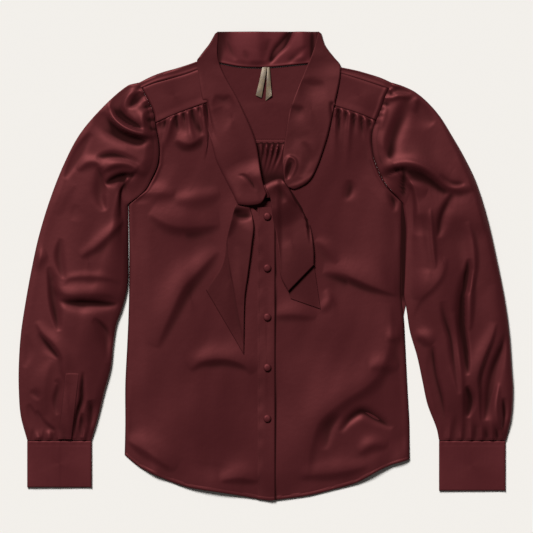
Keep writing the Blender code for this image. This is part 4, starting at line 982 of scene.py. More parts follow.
def make_sleeve(side, settings, finish, folds, cap_gathers, cuff_gathers):
    """A sleeve lying flat: rings from the armhole to the cuff, front layer and back layer in one."""
    if side == "right":
        outer, inner = smooth_curve(SLEEVE_OUTER_RIGHT), smooth_curve(SLEEVE_INNER_RIGHT)
        armhole = smooth_curve(ARMHOLE_RIGHT[::-1]) + (-ARMHOLE_GAP, 0.0)
        away, outer_fall, roll = -1.0, 92, 3.4
    else:
        outer, inner = smooth_curve(SLEEVE_OUTER_LEFT), smooth_curve(SLEEVE_INNER_LEFT)
        armhole = smooth_curve(ARMHOLE_LEFT[::-1]) + (ARMHOLE_GAP, 0.0)
        away, outer_fall, roll = 1.0, 116, 5.4
    outer[0], inner[0] = armhole[0], armhole[-1]
    outer[-1, 1] = inner[-1, 1] = CUFF_SEAM_Y + SEAM_GAP
    rows = steps_for(600.0, FINE, finer_start=5.0, finer_end=6.0)
    across = np.linalg.norm(along(outer, rows) - along(inner, rows), axis=1)[:, None]
    radius = SLEEVE_EDGE_RADIUS
    brim = np.array([0.06, 0.2, 0.45, 1.0]) * radius
    middle = np.linspace(0, 1, 84)[None]
    inside = 2.4 * radius
    top = (inside + middle * (across - 2 * inside)) / across
    rim = brim[None] / across
    zero = np.zeros((len(rows), 1))
    back = np.linspace(1, 0, 26)[None]
    under = (inside + back * (across - 2 * inside)) / across
    us = np.hstack([zero, rim, top, 1 - rim[:, ::-1], zero + 1, 1 - rim, under, rim[:, ::-1], zero])
    is_under = np.arange(us.shape[1]) > 2 * len(brim) + middle.shape[1] + 1
    a, b = along(outer, rows)[:, None], along(inner, rows)[:, None]
    u = us[..., None]
    points = (1 - u) * a + u * b
    bulge = along(armhole, us[:1] ** CAP_CROWDING) - points[:1]
    reach = CAP_REACH * (1 - u) + 0.01
    run = rows[:, None, None]
    points = points + bulge * np.clip(1 - run / reach, 0, 1)**2
    near_underarm = np.sin(math.pi * np.sqrt(np.clip((1 - u) / 0.4, 0, 1)))
    corner = near_underarm * ease(run / 0.025) * (1 - ease(run / 0.35))
    points = points + UNDERARM_TURN * corner * np.array([0.64 * away, 0.77])
    x, y = points[..., 0], points[..., 1]
    from_edge = np.minimum(us, 1 - us) * across
    to_west = (us if side == "right" else 1 - us) * across
    to_east = across - to_west
    rim_rise = np.minimum(round_off(to_west, 0.9), round_off(to_east, radius))
    run = rows[:, None]
    from_cap = np.hypot(x - x[:1], y - y[:1])
    puff = 3.0 + 6.0 * ease(from_cap / 26) * ease((1 - run) / 0.16)
    from_cuff = np.clip(y - CUFF_SEAM_Y, 0, None)
    heads = along(armhole, [row[0] for row in cap_gathers])
    ahead = along(armhole, [row[0] + 0.01 for row in cap_gathers]) - heads
    ahead /= np.linalg.norm(ahead, axis=1, keepdims=True)
    outward = np.column_stack([ahead[:, 1], -ahead[:, 0]])
    outward *= np.sign(outward[:, :1] * away)
    gathers = rooted_folds(heads, outward, cap_gathers)
    feet = [np.array([row[0], CUFF_SEAM_Y]) for row in cuff_gathers]
    gathers += rooted_folds(feet, [np.array([0.0, 1.0])] * len(feet), cuff_gathers)
    height = fold_shape(x, y, folds)
    puckers = fold_shape(x, y, gathers)
    keep = ease(from_edge / 14)
    lowest = radius + radius * rim_rise
    to_outer, to_inner = (to_west, to_east) if side == "right" else (to_east, to_west)
    full = lowest + puff * np.minimum(ease(to_outer / outer_fall), ease(to_inner / 60))
    east_roll = round_off(to_east, 12) - ease((to_east - 12) / 60)
    full = full + roll * east_roll * ease(run / 0.3) * ease((1 - run) / 0.06)
    full = full + (height + drape(x + 20, y)) * keep + puckers * ease(from_edge / 4)
    full -= 1.1 * bell(from_cap, 2.2) * (from_edge > 3)
    full -= 1.2 * bell(from_cuff, 2.5) * (from_edge > 3)
    above = full - lowest
    full = lowest + 0.5 * (above + np.sqrt(above**2 + 5.0 * ease(from_edge / 12)))
    low = radius - radius * rim_rise
    z = np.where(is_under, low, full)
    grid = np.dstack([points, z])
    if side == "right":
        grid = grid[::-1]
    return cloth_shell("sleeve_" + side, grid, finish, settings.cloth_wall / MM, joined=True)


def make_sleeve_strip(finish, sleeve):
    """Narrow bound strip at the right sleeve's opening, laid on the sleeve's own surface."""
    (low_x, low_y), (high_x, high_y) = SLEEVE_STRIP_LEFT
    width, length, _ = CUTS["sleeve_strip_right"]
    sleeve_points = np.array([vertex.co[:] for vertex in sleeve.data.vertices]) / MM
    upper = sleeve_points[sleeve_points[:, 2] > 3.0]
    rows = steps_for(length, FINE, finer_start=2.7, finer_end=2.7)
    cols = steps_for(width, NARROW, finer_start=1.8, finer_end=1.8)
    y = low_y + (high_y - low_y) * rows[:, None] + 0 * cols[None]
    x = np.interp(y, [low_y, high_y], [low_x, high_x]) + width * cols[None]
    z = np.zeros_like(x)
    for index in np.ndindex(x.shape):
        gap = np.hypot(upper[:, 0] - x[index], upper[:, 1] - y[index])
        near = gap < 3.2
        z[index] = upper[near, 2].max() if near.any() else 0.0
    for _ in range(4):
        z[1:-1] = (z[:-2] + 2 * z[1:-1] + z[2:]) / 4
        z[:, 1:-1] = (z[:, :-2] + 2 * z[:, 1:-1] + z[:, 2:]) / 4
    side = np.minimum(cols, 1 - cols)[None] * width
    end = (1 - rows)[:, None] * length
    z += 0.1 + 0.8 * ease(end / 30) - 0.7 * (1 - round_off(side, 1.5)) - 3.0 * (1 - ease(end / 7))
    z -= 0.25 * bell(side - 2.4, 0.8)
    cloth_shell("sleeve_strip_right", np.dstack([x, y, z]), finish, 0.7)


def make_cuff(side, finish):
    """Cuff band: its section runs round in X and Z, and rows run from its lower edge to its seam."""
    low, high, bottom = CUFF_RIGHT if side == "right" else CUFF_LEFT
    half = CUFF_HEIGHT / 2
    radius = 1.9
    turn = np.radians(np.linspace(90, -90, 9))
    xs = np.linspace(low + radius, high - radius, 56)
    top = np.column_stack([xs, np.full(len(xs), CUFF_HEIGHT)])
    right_turn = np.column_stack([high - radius + radius * np.cos(turn), half + half * np.sin(turn)])[1:-1]
    bottom_xs = np.linspace(high - radius, low + radius, 14)
    under = np.column_stack([bottom_xs, np.zeros(len(bottom_xs))])
    left_turn = np.column_stack([low + radius - radius * np.cos(turn), half - half * np.sin(turn)])[1:-1]
    ring = np.vstack([top, right_turn, under, left_turn, top[:1]])
    rows = steps_for(CUFF_SEAM_Y - bottom, FINE, finer_start=4.5, finer_end=4.5)
    y = bottom + (CUFF_SEAM_Y - SEAM_GAP - bottom) * rows
    grid = np.zeros((len(y), len(ring), 3))
    grid[..., 0] = ring[:, 0]
    grid[..., 1] = y[:, None]
    grid[..., 2] = ring[:, 1]
    is_top = ring[:, 1] > CUFF_HEIGHT - 0.01
    x = grid[..., 0]
    from_seam = (CUFF_SEAM_Y - y)[:, None]
    from_low = (y - bottom)[:, None]
    waves = 0.5 * np.sin((x - low) / 17 + 0.6 * np.sin(y / 19)[:, None])
    waves = waves + 0.4 * np.sin((x - low) / 9.5 + y[:, None] / 31)
    pleats = 0.16 * np.sin((x - low) / 2.1 + 1.5 * np.sin(x / 11)) * bell(from_seam, 5.0)
    seam = -0.9 * bell(from_seam, 1.4)
    edge = -1.2 * (1 - round_off(from_low, 1.8))
    stitch = -0.22 * bell(from_seam - 6.5, 0.8)
    lift = (waves * 0.5 + pleats + stitch) * ease((x - low) / 8) * ease((high - x) / 8) + seam + edge
    if side == "right":
        lift = lift + 0.25 * (1 - ease((x - CUFF_OVERLAP_X) / 2.6)) * ease((x - low) / 10)
    grid[..., 2] += lift * is_top[None]
    grid[..., 2] += (1.2 * (1 - round_off(from_low, 1.8))) * (ring[:, 1] < 0.01)[None]
    # Painted shade: the cuff's colour is darkened along its seam with the sleeve
    painted_seam_shade = 1 - ease((from_seam - 0.4) / 1.2)
    cloth_shell("cuff_" + side, grid, finish, 0.9, joined=True, painted_gap_shade=painted_seam_shade + 0 * x)


def make_collar(finish):
    """Back of the neck tie: it leans up from the neck seam and rolls over at its top edge."""
    left_x, right_x = COLLAR_ENDS
    us = np.linspace(0, 1, 80)
    xs = left_x - 1.5 + (right_x - left_x + 3.0) * us
    neck = smooth_curve(BACK_NECK)
    seam_y = np.interp(xs, neck[:, 0], neck[:, 1]) - 0.8
    rows = steps_for(53.0, NARROW, finer_start=4.5, finer_end=4.5)
    grid = np.zeros((len(rows), len(xs), 3))
    grid[..., 0] = xs
    grid[..., 1] = seam_y + (TOP_Y - seam_y) * rows[:, None]
    x, y = grid[..., 0], grid[..., 1]
    height = fold_shape(x, y, COLLAR_FOLDS)
    from_seam, from_top = y - seam_y, TOP_Y - y
    ends = ease((x - left_x) / 14) * ease((right_x - x) / 14)
    z = 3.6 + 1.4 * ease(from_seam / 40) + height * (0.4 + 0.6 * ends) * ease(from_seam / 12)
    z += 0.5 * bell(from_seam - 2.2, 1.8) - 2.1 * (1 - round_off(from_seam, 2.0))
    z -= 2.0 * (1 - round_off(from_top, 1.4))
    grid[..., 2] = np.maximum(z, 1.0)
    # Painted shade: the collar's colour is darkened at both ends beside the tie bands, over a wider strip
    # towards its top
    painted_shade_by_right_band = 1 - ease((x - left_x - 2.0) / (4.0 + 0.5 * from_seam))
    painted_shade_by_left_band = 1 - ease((right_x - x) / (3.0 + 0.2 * from_seam))
    cloth_shell("collar_back", grid, finish, 0.9,
                painted_gap_shade=0.9 * np.maximum(painted_shade_by_right_band, painted_shade_by_left_band))


def band_top(x, y, knot_share):
    """Top of a tie band: low behind the neck, then over the yoke, the front and the knot."""
    over_yoke = ease((BAND_FOLD_Y - y) / BAND_FOLD_RUN)
    low = 2 * BAND_CLOTH + FOLD_GAP
    laid = front_top(x, y) + SEAM_GAP + BAND_CLOTH
    return low + (laid - low) * over_yoke + knot_share * knot_rise(x, y)


def make_tie_band(side, finish):
    """A band of the tie: folded over at the side of the neck, then flat down to the knot."""
    if side == "right":
        outer, inner = smooth_curve(BAND_OUTER_RIGHT), smooth_curve(BAND_INNER_RIGHT)
        end = smooth_curve([(-43, 94), (-24, 93), (-7, 97), (1, 111)])
        neck_x, knot_share, turn_point = COLLAR_ENDS[0], 1.0, BAND_OUTER_RIGHT[3]
    else:
        outer, inner = smooth_curve(BAND_OUTER_LEFT), smooth_curve(BAND_INNER_LEFT)
        end = smooth_curve([(34, 122), (30, 129), (28, 137)])
        neck_x, knot_share, turn_point = COLLAR_ENDS[1], LEFT_BAND_KNOT_SHARE, BAND_OUTER_LEFT[3]
    turn_at = int(np.argmin(np.hypot(outer[:, 0] - turn_point[0], outer[:, 1] - turn_point[1])))
    turn_share = lengths(outer)[turn_at] / lengths(outer)[-1]
    shoulder = 20
    vs = np.concatenate([np.linspace(0, turn_share, shoulder + 1),
                         turn_share + steps_for(240.0, 1.8, finer_end=5.0)[1:] * (1 - turn_share)])
    us = steps_for(46.0, NARROW, finer_start=2.7, finer_end=2.7)
    start = straight(outer[0], inner[0])
    top = patch(start, end, outer, inner, us, vs)
    x, y = top[..., 0], top[..., 1]
    width = np.linalg.norm(top[:, -1] - top[:, 0], axis=1)[:, None]
    from_outer, from_inner = us[None] * width, (1 - us[None]) * width
    z = band_top(x, y, knot_share) + fold_shape(x, y, BAND_FOLDS)
    on_front = ease((318 - y) / 26)
    if side == "right":
        z -= 1.6 * (1 - round_off(from_outer, 7.0)) * on_front
        z += 1.2 * ease((24 - from_inner) / 24) * on_front - 0.8 * (1 - round_off(from_inner, 1.6))
        wrap = Fold([(-70, 97), (-46, 99), (-28, 99), (-12, 101), (4, 106)], 1.4, 16, 5)
        z += fold_shape(x, y, [wrap])
        from_end = np.linalg.norm(top - top[-1:], axis=-1)
        z -= 2.6 * (1 - round_off(from_end, 2.6))
    else:
        z += 2.8 * (1 - us[None]) * on_front * ease((y - 118) / 40)
        z -= 1.0 * (1 - round_off(from_outer, 1.8)) + 0.9 * (1 - round_off(from_inner, 1.6))
    upper = np.dstack([top, z])
    rolled = np.clip(1 - from_outer[:shoulder + 1] / 2.6, 0, 1)
    upper[:shoulder + 1, :, 2] *= 1 - 0.5 * rolled**2
    under = np.zeros((len(vs), 6, 3))
    a = top[:, 0]
    for column, share in enumerate((0.04, 0.1, 0.25, 0.5, 0.75, 1.0)):
        foot = a + (np.column_stack([np.full(len(vs), neck_x), a[:, 1]]) - a) * share
        under[:, column, :2] = foot
        under[:, column, 2] = 0.6 * (1 - ease(share / 0.2))
    grid = np.concatenate([under[:, ::-1], upper], axis=1)
    hidden = np.zeros(grid.shape[:2], dtype=bool)
    hidden[shoulder:, :6] = True
    if neck_x < 0:
        grid, hidden = grid[::-1], hidden[::-1]
    cloth_shell("tie_band_" + side, grid, finish, 1.2,
                missing=hidden)


def make_knot(finish):
    """Hidden crossing of the half knot: a rolled wad of the two bands, seen only through the knot's hole."""
    x0, y0 = KNOT_CENTRE
    seat = front_top_at(x0, y0) + SEAM_GAP
    deselect()
    bpy.ops.mesh.primitive_uv_sphere_add(segments=48, ring_count=24, radius=1.0)
    piece = bpy.context.object
    piece.name = piece.data.name = "tie_knot_cloth"
    ball = np.array([vertex.co[:] for vertex in piece.data.vertices])
    turn = np.arctan2(ball[:, 1], ball[:, 0])
    creases = 1 + 0.07 * np.sin(5 * turn + 3 * ball[:, 2])
    points = np.column_stack([x0 - 3 + ball[:, 0] * 22 * creases, y0 + 3 + ball[:, 1] * 10 * creases,
                              seat + 2.3 + ball[:, 2] * 2.3])
    place_points(piece, points)
    dress(piece, finish, "tie_knot")


def rest_top(x, y):
    """Top of a hanging end where it rests on the front."""
    return front_top(x, y) + 2 * SEAM_GAP + BAND_CLOTH


def make_tie_end_right(finish):
    """Hanging end on the wearer's right: flat, with one long ridge, cut off at a slant."""
    left, right = smooth_curve(END_RIGHT_LEFT_EDGE), smooth_curve(END_RIGHT_RIGHT_EDGE)
    us = steps_for(48.0, NARROW, finer_start=2.7, finer_end=2.7)
    vs = steps_for(190.0, 1.8, finer_start=1.8, finer_end=2.7)
    points = patch(straight(left[0], right[0]), straight(left[-1], right[-1]), left, right, us, vs)
    x, y = points[..., 0], points[..., 1]
    width = np.linalg.norm(points[:, -1] - points[:, 0], axis=1)[:, None]
    from_left, from_right = us[None] * width, (1 - us[None]) * width
    from_end = (1 - vs)[:, None] * 150.0
    height = fold_shape(x, y, END_RIGHT_FOLDS)
    lap = smooth_curve(END_RIGHT_LAP)[::-1]
    from_lap = x - np.interp(y, lap[:, 1], lap[:, 0])
    behind = 3.4 * np.clip(-from_lap / 40, 0, 1)
    in_front = 1.8 * ease((from_lap + 0.8) / 2.0) + 2.6 * np.clip(from_lap / 36, 0, 1)
    shown = ease(vs[:, None] / 0.2) * (0.2 + 0.8 * ease(from_end / 30))
    z = rest_top(x, y) + height + (behind + in_front) * shown
    z -= 1.0 * (1 - round_off(from_right, 1.6)) + 0.2 * (1 - round_off(from_left, 1.6))
    z -= 0.9 * (1 - round_off(from_end, 1.6))
    grid = np.dstack([points, z])
    # Painted shadow: the end's colour is darkened at its top, where it comes out under the knot's wrap
    painted_wrap_shadow = np.exp(-((x + 44) / 10)**2 - ((y - 85) / 8)**2)
    cloth_shell("tie_end_right", grid[::-1], finish, 1.2, painted_gap_shade=0.8 * painted_wrap_shadow[::-1])


def make_tie_end_left(finish):
    """Hanging end on the wearer's left: over the knot, then folded back and out again at its tip."""
    left, right = smooth_curve(END_LEFT_LEFT_EDGE), smooth_curve(END_LEFT_RIGHT_EDGE)
    us = steps_for(50.0, NARROW, finer_start=2.7, finer_end=2.7)
    length = 160.0
    vs = steps_for(length, 1.8, finer_start=4.5)
    points = patch(smooth_curve(END_LEFT_TOP), straight(left[-1], right[-1]), left, right, us, vs)
    x, y = points[..., 0], points[..., 1]
    width = np.linalg.norm(points[:, -1] - points[:, 0], axis=1)[:, None]
    from_left, from_right = us[None] * width, (1 - us[None]) * width
    layer = BAND_CLOTH + 0.7
    crest = points[-1]
    from_crest = np.hypot(x - crest[:, 0], y - crest[:, 1])
    over_band = 1.8 * (1 - ease((x - 16) / 9))
    crest_rise = 2 * layer * (1 - ease((from_crest - 8) / 120))
    height = fold_shape(x, y, END_LEFT_FOLDS)
    z = rest_top(x, y) + knot_rise(x, y) + over_band + crest_rise + height * (1 - ease((30 - y) / 60))
    strip = smooth_curve(END_LEFT_STRIP)[::-1]
    past_strip = x - np.interp(y, strip[:, 1], strip[:, 0])
    apart = ease((y - 30) / 40)
    z -= (2.2 * ease((past_strip + 0.6) / 1.6) + 1.8 * bell(past_strip - 2.2, 1.6)) * apart
    z += 0.7 * bell(past_strip + 1.6, 1.4) * apart
    from_top = vs[:, None] * length
    z += 1.2 * bell(from_top - 9, 9)
    z -= 0.9 * (1 - round_off(from_right, 1.6)) + 0.9 * (1 - round_off(from_left, 1.6))
    z -= 5.0 * (1 - round_off(from_top, 13.0))
    upper = np.dstack([points, z])
    tip = along(np.array(END_LEFT_TIP, dtype=float), us)
    away = tip - crest
    reach = np.linalg.norm(away, axis=1, keepdims=True)
    away /= reach
    back = np.maximum(0.3 * reach, 6.0)
    run = crest[-1] - crest[0]
    out = np.array([run[1], -run[0]]) / np.linalg.norm(run)
    radius = (layer + BAND_CLOTH) / 2
    middle = 2 * layer + BAND_CLOTH - radius
    rows = []
    for angle in (70, 45, 20, 0, -20, -45, -70):
        swing = radius * math.cos(math.radians(angle))
        rows.append((crest + out * swing, middle + radius * math.sin(math.radians(angle))))
    rows += [(crest - away * back * share, layer) for share in (0.1, 0.4, 0.7, 1.0)]
    rows.append((crest - away * (back + 0.35), layer - 0.35))
    behind = crest - away * back
    rows += [(behind + (tip - behind) * share, BAND_CLOTH) for share in np.linspace(0.0, 1.0, 24)]
    laid = [np.column_stack([at, front_top(at[:, 0], at[:, 1]) + 2 * SEAM_GAP + rise])[None]
            for at, rise in rows]
    grid = np.vstack([upper] + laid)
    # Painted shade: the end's colour is darkened in the groove beside its folded-under strip and under its
    # crest, where the tip comes out
    under_crest = np.linalg.norm(grid[..., :2] - crest, axis=-1)
    painted_gap_shade = np.vstack([bell(past_strip - 2.2, 1.6) * apart,
                      ease((11 - under_crest[len(upper):]) / 8)])
    cloth_shell("tie_end_left", grid[::-1], finish, 1.2,
                painted_gap_shade=painted_gap_shade[::-1])


def make_ribbons(finish):
    """Two bare legs of a narrow ribbon loop under the back neck seam."""
    for number, (top_x, top_width, bottom_x, bottom_width, bottom_y) in enumerate(RIBBON_LEGS, start=1):
        slant = 4.0 if number == 1 else 8.0
        rows = np.linspace(0, 1, 40)[:, None]
        cols = np.linspace(-0.5, 0.5, 14)[None]
        width = bottom_width + (top_width - bottom_width) * rows
        x = bottom_x + (top_x - bottom_x) * rows + cols * width
        cut = (cols + 0.5 if number == 2 else 0.5 - cols) * slant * (1 - rows)**4
        y = bottom_y + (RIBBON_TOP_Y + 3.5 - bottom_y) * rows + cut
        tilt = 1.0 if number == 1 else -1.6
        z = 3.0 + 1.8 * np.sin(math.pi * rows) * (1 + 0.5 * tilt * cols) + 0.3 * np.cos(math.pi * cols)
        z = z + 0.3 * np.sin(rows * 9 + number) + (3.0 * cols * (1 - rows) if number == 2 else 0.0)
        cloth_shell("ribbon_leg_%d" % number, np.dstack([x, y, z]), finish, 0.35)


def make_stitches(name, path, finish):
    """A run of small stitches along a path of (x, y, z) points: one stitch is modelled, then repeated."""
    pitch, length, thickness = STITCH
    total = lengths(path)[-1]
    starts = np.arange(pitch / 2, total - pitch / 2, pitch) / total
    at = along(path, starts)
    ahead = along(path, np.clip(starts + 0.5 * pitch / total, 0, 1)) - at
    ahead /= np.linalg.norm(ahead, axis=1, keepdims=True)
    side = np.column_stack([-ahead[:, 1], ahead[:, 0], np.zeros(len(at))])
    side /= np.linalg.norm(side, axis=1, keepdims=True)
    up = np.cross(ahead, side)
    deselect()
    bpy.ops.mesh.primitive_cylinder_add(vertices=6, radius=thickness / 2 * MM, depth=length * MM,
                                        end_fill_type="TRIFAN")
    piece = bpy.context.object
    piece.name = piece.data.name = name
    bpy.ops.object.mode_set(mode="EDIT")
    bpy.ops.mesh.select_all(action="SELECT")
    bpy.ops.mesh.subdivide(number_cuts=1)
    bpy.ops.object.mode_set(mode="OBJECT")
    stitch = np.array([vertex.co[:] for vertex in piece.data.vertices]) / MM
    stitch[:, :2] *= (1 - 0.6 * (2 * np.abs(stitch[:, 2]) / length)**2)[:, None]
    array = piece.modifiers.new("Run", "ARRAY")
    array.count = len(at)
    array.use_relative_offset = False
    array.use_constant_offset = True
    array.constant_offset_displace = (0.01, 0.0, 0.0)
    apply_modifier(piece, "Run")
    points = (at[:, None] + stitch[None, :, 2:3] * ahead[:, None] + stitch[None, :, 0:1] * side[:, None]
              + stitch[None, :, 1:2] * 0.6 * up[:, None])
    place_points(piece, points)
    dress(piece, finish)


def on_front(points):
    """The points, set just above the front's own surface."""
    above_hem = points[:, 1] - hem_y(points[:, 0])
    height = front_top(points[:, 0], points[:, 1]) + hem_lift(points[:, 0], above_hem)
    return np.column_stack([points, height + 0.35])


def make_all_stitches(finish):
    """Topstitching on the hem, the button band and the back yoke."""
    hem = smooth_curve(HEM)
    meet = fraction_at_x(hem, [BAND_LEFT_X])[0]
    band_end = fraction_at_x(hem, [BAND_RIGHT_X])[0]
    lift_hem = np.array([0.0, 4.6])
    right = along(hem, np.linspace(0.012, meet, 200)) + lift_hem
    left = along(hem, np.linspace(band_end, 0.988, 200)) + lift_hem
    make_stitches("hem_stitches_right", on_front(right), finish)
    make_stitches("hem_stitches_left", on_front(left), finish)
    ys = np.linspace(-355, BAND_TOP_Y - 2, 300)
    band = np.column_stack([np.full(300, BAND_LEFT_X + 2.4), ys])
    make_stitches("button_band_stitches", on_front(band), finish)
    xs = np.linspace(-150, 150, 100)
    yoke = np.column_stack([xs, np.full(100, BACK_YOKE_SEAM_Y + 3.8), np.full(100, 1.55)])
    make_stitches("back_yoke_stitches", yoke, finish)


def make_stage(stage):
    """Pale floor, soft light from the upper left and a long lens straight above."""
    deselect()
    bpy.ops.mesh.primitive_plane_add(size=FLOOR_SIZE, location=(0.0, 0.0, -FLOOR_DROP))
    floor = bpy.context.object
    floor.name = "pale_floor"
    floor.data.materials.append(floor_finish(stage))
    world = bpy.data.worlds.new("studio_air")
    world.use_nodes = True
    air = world.node_tree.nodes["Background"]
    air.inputs["Color"].default_value = (1.0, 0.985, 0.96, 1.0)
    air.inputs["Strength"].default_value = stage.air_strength
    bpy.context.scene.world = world
    bpy.ops.object.light_add(type="SUN", location=(0.0, 0.0, 3.0))
    light = bpy.context.object
    light.name = "key_from_upper_left"
    light.data.energy = stage.key_strength
    light.data.angle = stage.key_softness
    light.rotation_euler = (0.0, math.radians(90.0) - stage.key_elevation, stage.key_turn)
    bpy.ops.object.camera_add(location=(stage.centre_x, stage.centre_y, stage.camera_height))
    camera = bpy.context.object
    camera.name = "camera_above"
    camera.data.sensor_width = SENSOR
    camera.data.lens = SENSOR * stage.camera_height / stage.frame_width
    camera.data.clip_end = 60.0
    scene = bpy.context.scene
    scene.camera = camera
    scene.view_settings.view_transform = "Standard"
    scene.view_settings.look = "None"


class BlouseCloth(bpy.types.PropertyGroup):
    """Cloth of the blouse."""

    cloth_wall: bpy.props.FloatProperty(name="Cloth", description="Thickness of the satin's shells",
                                        default=0.0007, min=0.0002, max=0.002, unit="LENGTH")
    seam_overlap: bpy.props.FloatProperty(name="Seam overlap",
                                          description="How far a yoke laps over what it gathers",
                                          default=0.0014, min=0.0, max=0.004, unit="LENGTH")
    yarn_pitch: bpy.props.FloatProperty(name="Yarn pitch",
                                        description="Spacing of the warp yarns, in millimetres",
                                        default=0.35, min=0.1, max=2.0)
    satin_colour: bpy.props.FloatVectorProperty(name="Satin", description="Colour of the satin", size=3,
                                                default=(0.048, 0.0088, 0.0106), subtype="COLOR")
    satin_roughness: bpy.props.FloatProperty(name="Satin roughness", description="How far the sheen spreads",
                                             default=0.5, min=0.1, max=1.0, subtype="FACTOR")
    # Strength of the painted shade that darkens the satin's colour in creases and in gaps between layers
    painted_shade_strength: bpy.props.FloatProperty(name="Shade in folds",
                                          description="How much darker the cloth is in creases",
                                          default=0.95, min=0.0, max=1.0, subtype="FACTOR")
    ribbon_colour: bpy.props.FloatVectorProperty(name="Ribbon", description="Colour of the ribbon", size=3,
                                                 default=(0.17, 0.132, 0.096), subtype="COLOR")


class BlouseStage(bpy.types.PropertyGroup):
    """Floor, light and camera."""

    floor_colour: bpy.props.FloatVectorProperty(name="Floor", description="Colour of the floor", size=3,
                                                default=(0.870, 0.845, 0.807), subtype="COLOR")
    key_strength: bpy.props.FloatProperty(name="Key light",
                                          description="Strength of the light from the upper left",
                                          default=4.1, min=0.0, max=20.0)
    key_softness: bpy.props.FloatProperty(name="Key softness", description="How wide the key light looks",
                                          default=math.radians(22.0), min=0.0, max=math.pi, unit="ROTATION")
    key_elevation: bpy.props.FloatProperty(name="Key elevation", description="Its angle above the floor",
                                           default=math.radians(47.0), min=0.0, max=1.57, unit="ROTATION")
    key_turn: bpy.props.FloatProperty(name="Key turn", description="Its turn round the blouse, from +X",
                                      default=math.radians(118.0), unit="ROTATION")
    air_strength: bpy.props.FloatProperty(name="Air", description="Strength of the even light all round",
                                          default=0.075, min=0.0, max=5.0)
    camera_height: bpy.props.FloatProperty(name="Camera height",
                                           description="Height of the camera above the floor",
                                           default=6.0, min=1.0, max=30.0, unit="LENGTH")
    frame_width: bpy.props.FloatProperty(name="Frame", description="Width of floor in the camera's view",
                                         default=0.826, min=0.2, max=5.0, unit="LENGTH")
    centre_x: bpy.props.FloatProperty(name="Centre X",
                                      description="Middle of the view, towards the left sleeve",
                                      default=0.0008, unit="LENGTH")
    centre_y: bpy.props.FloatProperty(name="Centre Y", description="Middle of the view, towards the neck",
                                      default=-0.0008, unit="LENGTH")


FINISHES = {}


def satin(name="satin", shade=1.0):
    """The finish of the given name, made on its first use."""
    # shade above 1 lightens the copy as painted light, below 1 darkens it as painted shade
    if name not in FINISHES:
        FINISHES[name] = satin_finish(name, bpy.context.scene.blouse_cloth, shade)
    return FINISHES[name]


class BLOUSE_OT_back(bpy.types.Operator):
    """Back panel and back yoke"""

    bl_idname = "blouse.back"
    bl_label = "Back"

    def execute(self, context):
        make_back_panel(satin())
        make_back_yoke(context.scene.blouse_cloth, satin())
        return {"FINISHED"}


class BLOUSE_OT_fronts(bpy.types.Operator):
    """Fronts and front yokes"""

    bl_idname = "blouse.fronts"
    bl_label = "Fronts"

    def execute(self, context):
        for side in ("right", "left"):
            make_front(side, context.scene.blouse_cloth, satin())
            make_front_yoke(side, context.scene.blouse_cloth, satin())
        return {"FINISHED"}


class BLOUSE_OT_button_band(bpy.types.Operator):
    """Button band and covered buttons"""

    bl_idname = "blouse.button_band"
    bl_label = "Button Band"

    def execute(self, context):
        # The placket's satin is a copy darkened as painted shade, and the button covers' a copy lightened as
        # painted light
        make_button_band(satin("satin_placket_painted_darker", 0.9))
        make_buttons(satin("satin_button_cover_painted_lighter", 1.25))
        return {"FINISHED"}


class BLOUSE_OT_sleeves(bpy.types.Operator):
    """Sleeves and the strip at the right sleeve's opening"""

    bl_idname = "blouse.sleeves"
    bl_label = "Sleeves"

    def execute(self, context):
        cloth = context.scene.blouse_cloth
        right = make_sleeve("right", cloth, satin(),
                            SLEEVE_FOLDS_RIGHT, CAP_GATHERS_RIGHT, CUFF_GATHERS_RIGHT)
        make_sleeve("left", cloth, satin(), SLEEVE_FOLDS_LEFT, CAP_GATHERS_LEFT, CUFF_GATHERS_LEFT)
        make_sleeve_strip(satin(), right)
        return {"FINISHED"}


class BLOUSE_OT_cuffs(bpy.types.Operator):
    """Cuffs"""

    bl_idname = "blouse.cuffs"
    bl_label = "Cuffs"

    def execute(self, context):
        for side in ("right", "left"):
            # The cuffs' satin is a copy lightened as painted light
            make_cuff(side, satin("satin_cuff_painted_lighter", 1.25))
        return {"FINISHED"}


class BLOUSE_OT_neck_tie(bpy.types.Operator):
    """Neck tie: collar, bands, knot and hanging ends"""

    bl_idname = "blouse.neck_tie"
    bl_label = "Neck Tie"

    def execute(self, context):
        # The collar's satin is a copy lightened as painted light; the bands' and the ends' are copies
        # darkened as painted shade
        make_collar(satin("satin_collar_painted_lighter", 1.7))
        make_tie_band("right", satin("satin_band_right_painted_darker", 0.94))
        make_tie_band("left", satin("satin_band_left_painted_darker", 0.8))
        make_knot(satin())
        make_tie_end_right(satin("satin_tie_ends_painted_darker", 0.78))
        make_tie_end_left(satin("satin_tie_ends_painted_darker", 0.78))
        return {"FINISHED"}


class BLOUSE_OT_ribbon(bpy.types.Operator):
    """Ribbon loop under the back neck"""

    bl_idname = "blouse.ribbon"
    bl_label = "Ribbon"

    def execute(self, context):
        make_ribbons(ribbon_finish(context.scene.blouse_cloth))
        return {"FINISHED"}


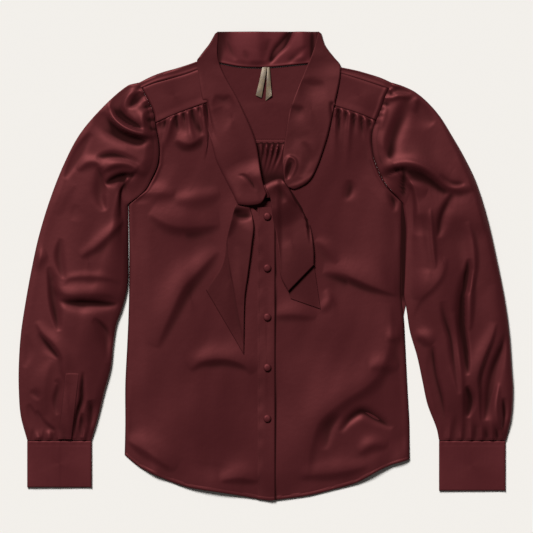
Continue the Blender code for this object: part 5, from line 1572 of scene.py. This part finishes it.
class BLOUSE_OT_stitching(bpy.types.Operator):
    """Topstitching"""

    bl_idname = "blouse.stitching"
    bl_label = "Stitching"

    def execute(self, context):
        make_all_stitches(satin())
        return {"FINISHED"}


class BLOUSE_OT_stage(bpy.types.Operator):
    """Floor, light and camera"""

    bl_idname = "blouse.stage"
    bl_label = "Stage"

    def execute(self, context):
        make_stage(context.scene.blouse_stage)
        return {"FINISHED"}


OPERATORS = (BLOUSE_OT_stage, BLOUSE_OT_back, BLOUSE_OT_fronts, BLOUSE_OT_button_band, BLOUSE_OT_sleeves,
             BLOUSE_OT_cuffs, BLOUSE_OT_neck_tie, BLOUSE_OT_ribbon, BLOUSE_OT_stitching)


class BLOUSE_PT_panel(bpy.types.Panel):
    """Lists the blouse's operators and sizes in the 3D view's sidebar"""

    bl_label = "Satin Blouse"
    bl_idname = "BLOUSE_PT_panel"
    bl_space_type = "VIEW_3D"
    bl_region_type = "UI"
    bl_category = "Blouse"

    def draw(self, context):
        for group in (context.scene.blouse_cloth, context.scene.blouse_stage):
            for name in group.__annotations__:
                self.layout.prop(group, name)
        for operator in OPERATORS:
            self.layout.operator(operator.bl_idname)


CLASSES = (BlouseCloth, BlouseStage, *OPERATORS, BLOUSE_PT_panel)


def register():
    for cls in CLASSES:
        bpy.utils.register_class(cls)
    bpy.types.Scene.blouse_cloth = bpy.props.PointerProperty(type=BlouseCloth)
    bpy.types.Scene.blouse_stage = bpy.props.PointerProperty(type=BlouseStage)


def unregister():
    del bpy.types.Scene.blouse_stage
    del bpy.types.Scene.blouse_cloth
    for cls in reversed(CLASSES):
        bpy.utils.unregister_class(cls)


def main():
    register()
    bpy.ops.blouse.stage()
    bpy.ops.blouse.back()
    bpy.ops.blouse.fronts()
    bpy.ops.blouse.button_band()
    bpy.ops.blouse.sleeves()
    bpy.ops.blouse.cuffs()
    bpy.ops.blouse.neck_tie()
    bpy.ops.blouse.ribbon()
    bpy.ops.blouse.stitching()


if __name__ == "__main__":
    main()
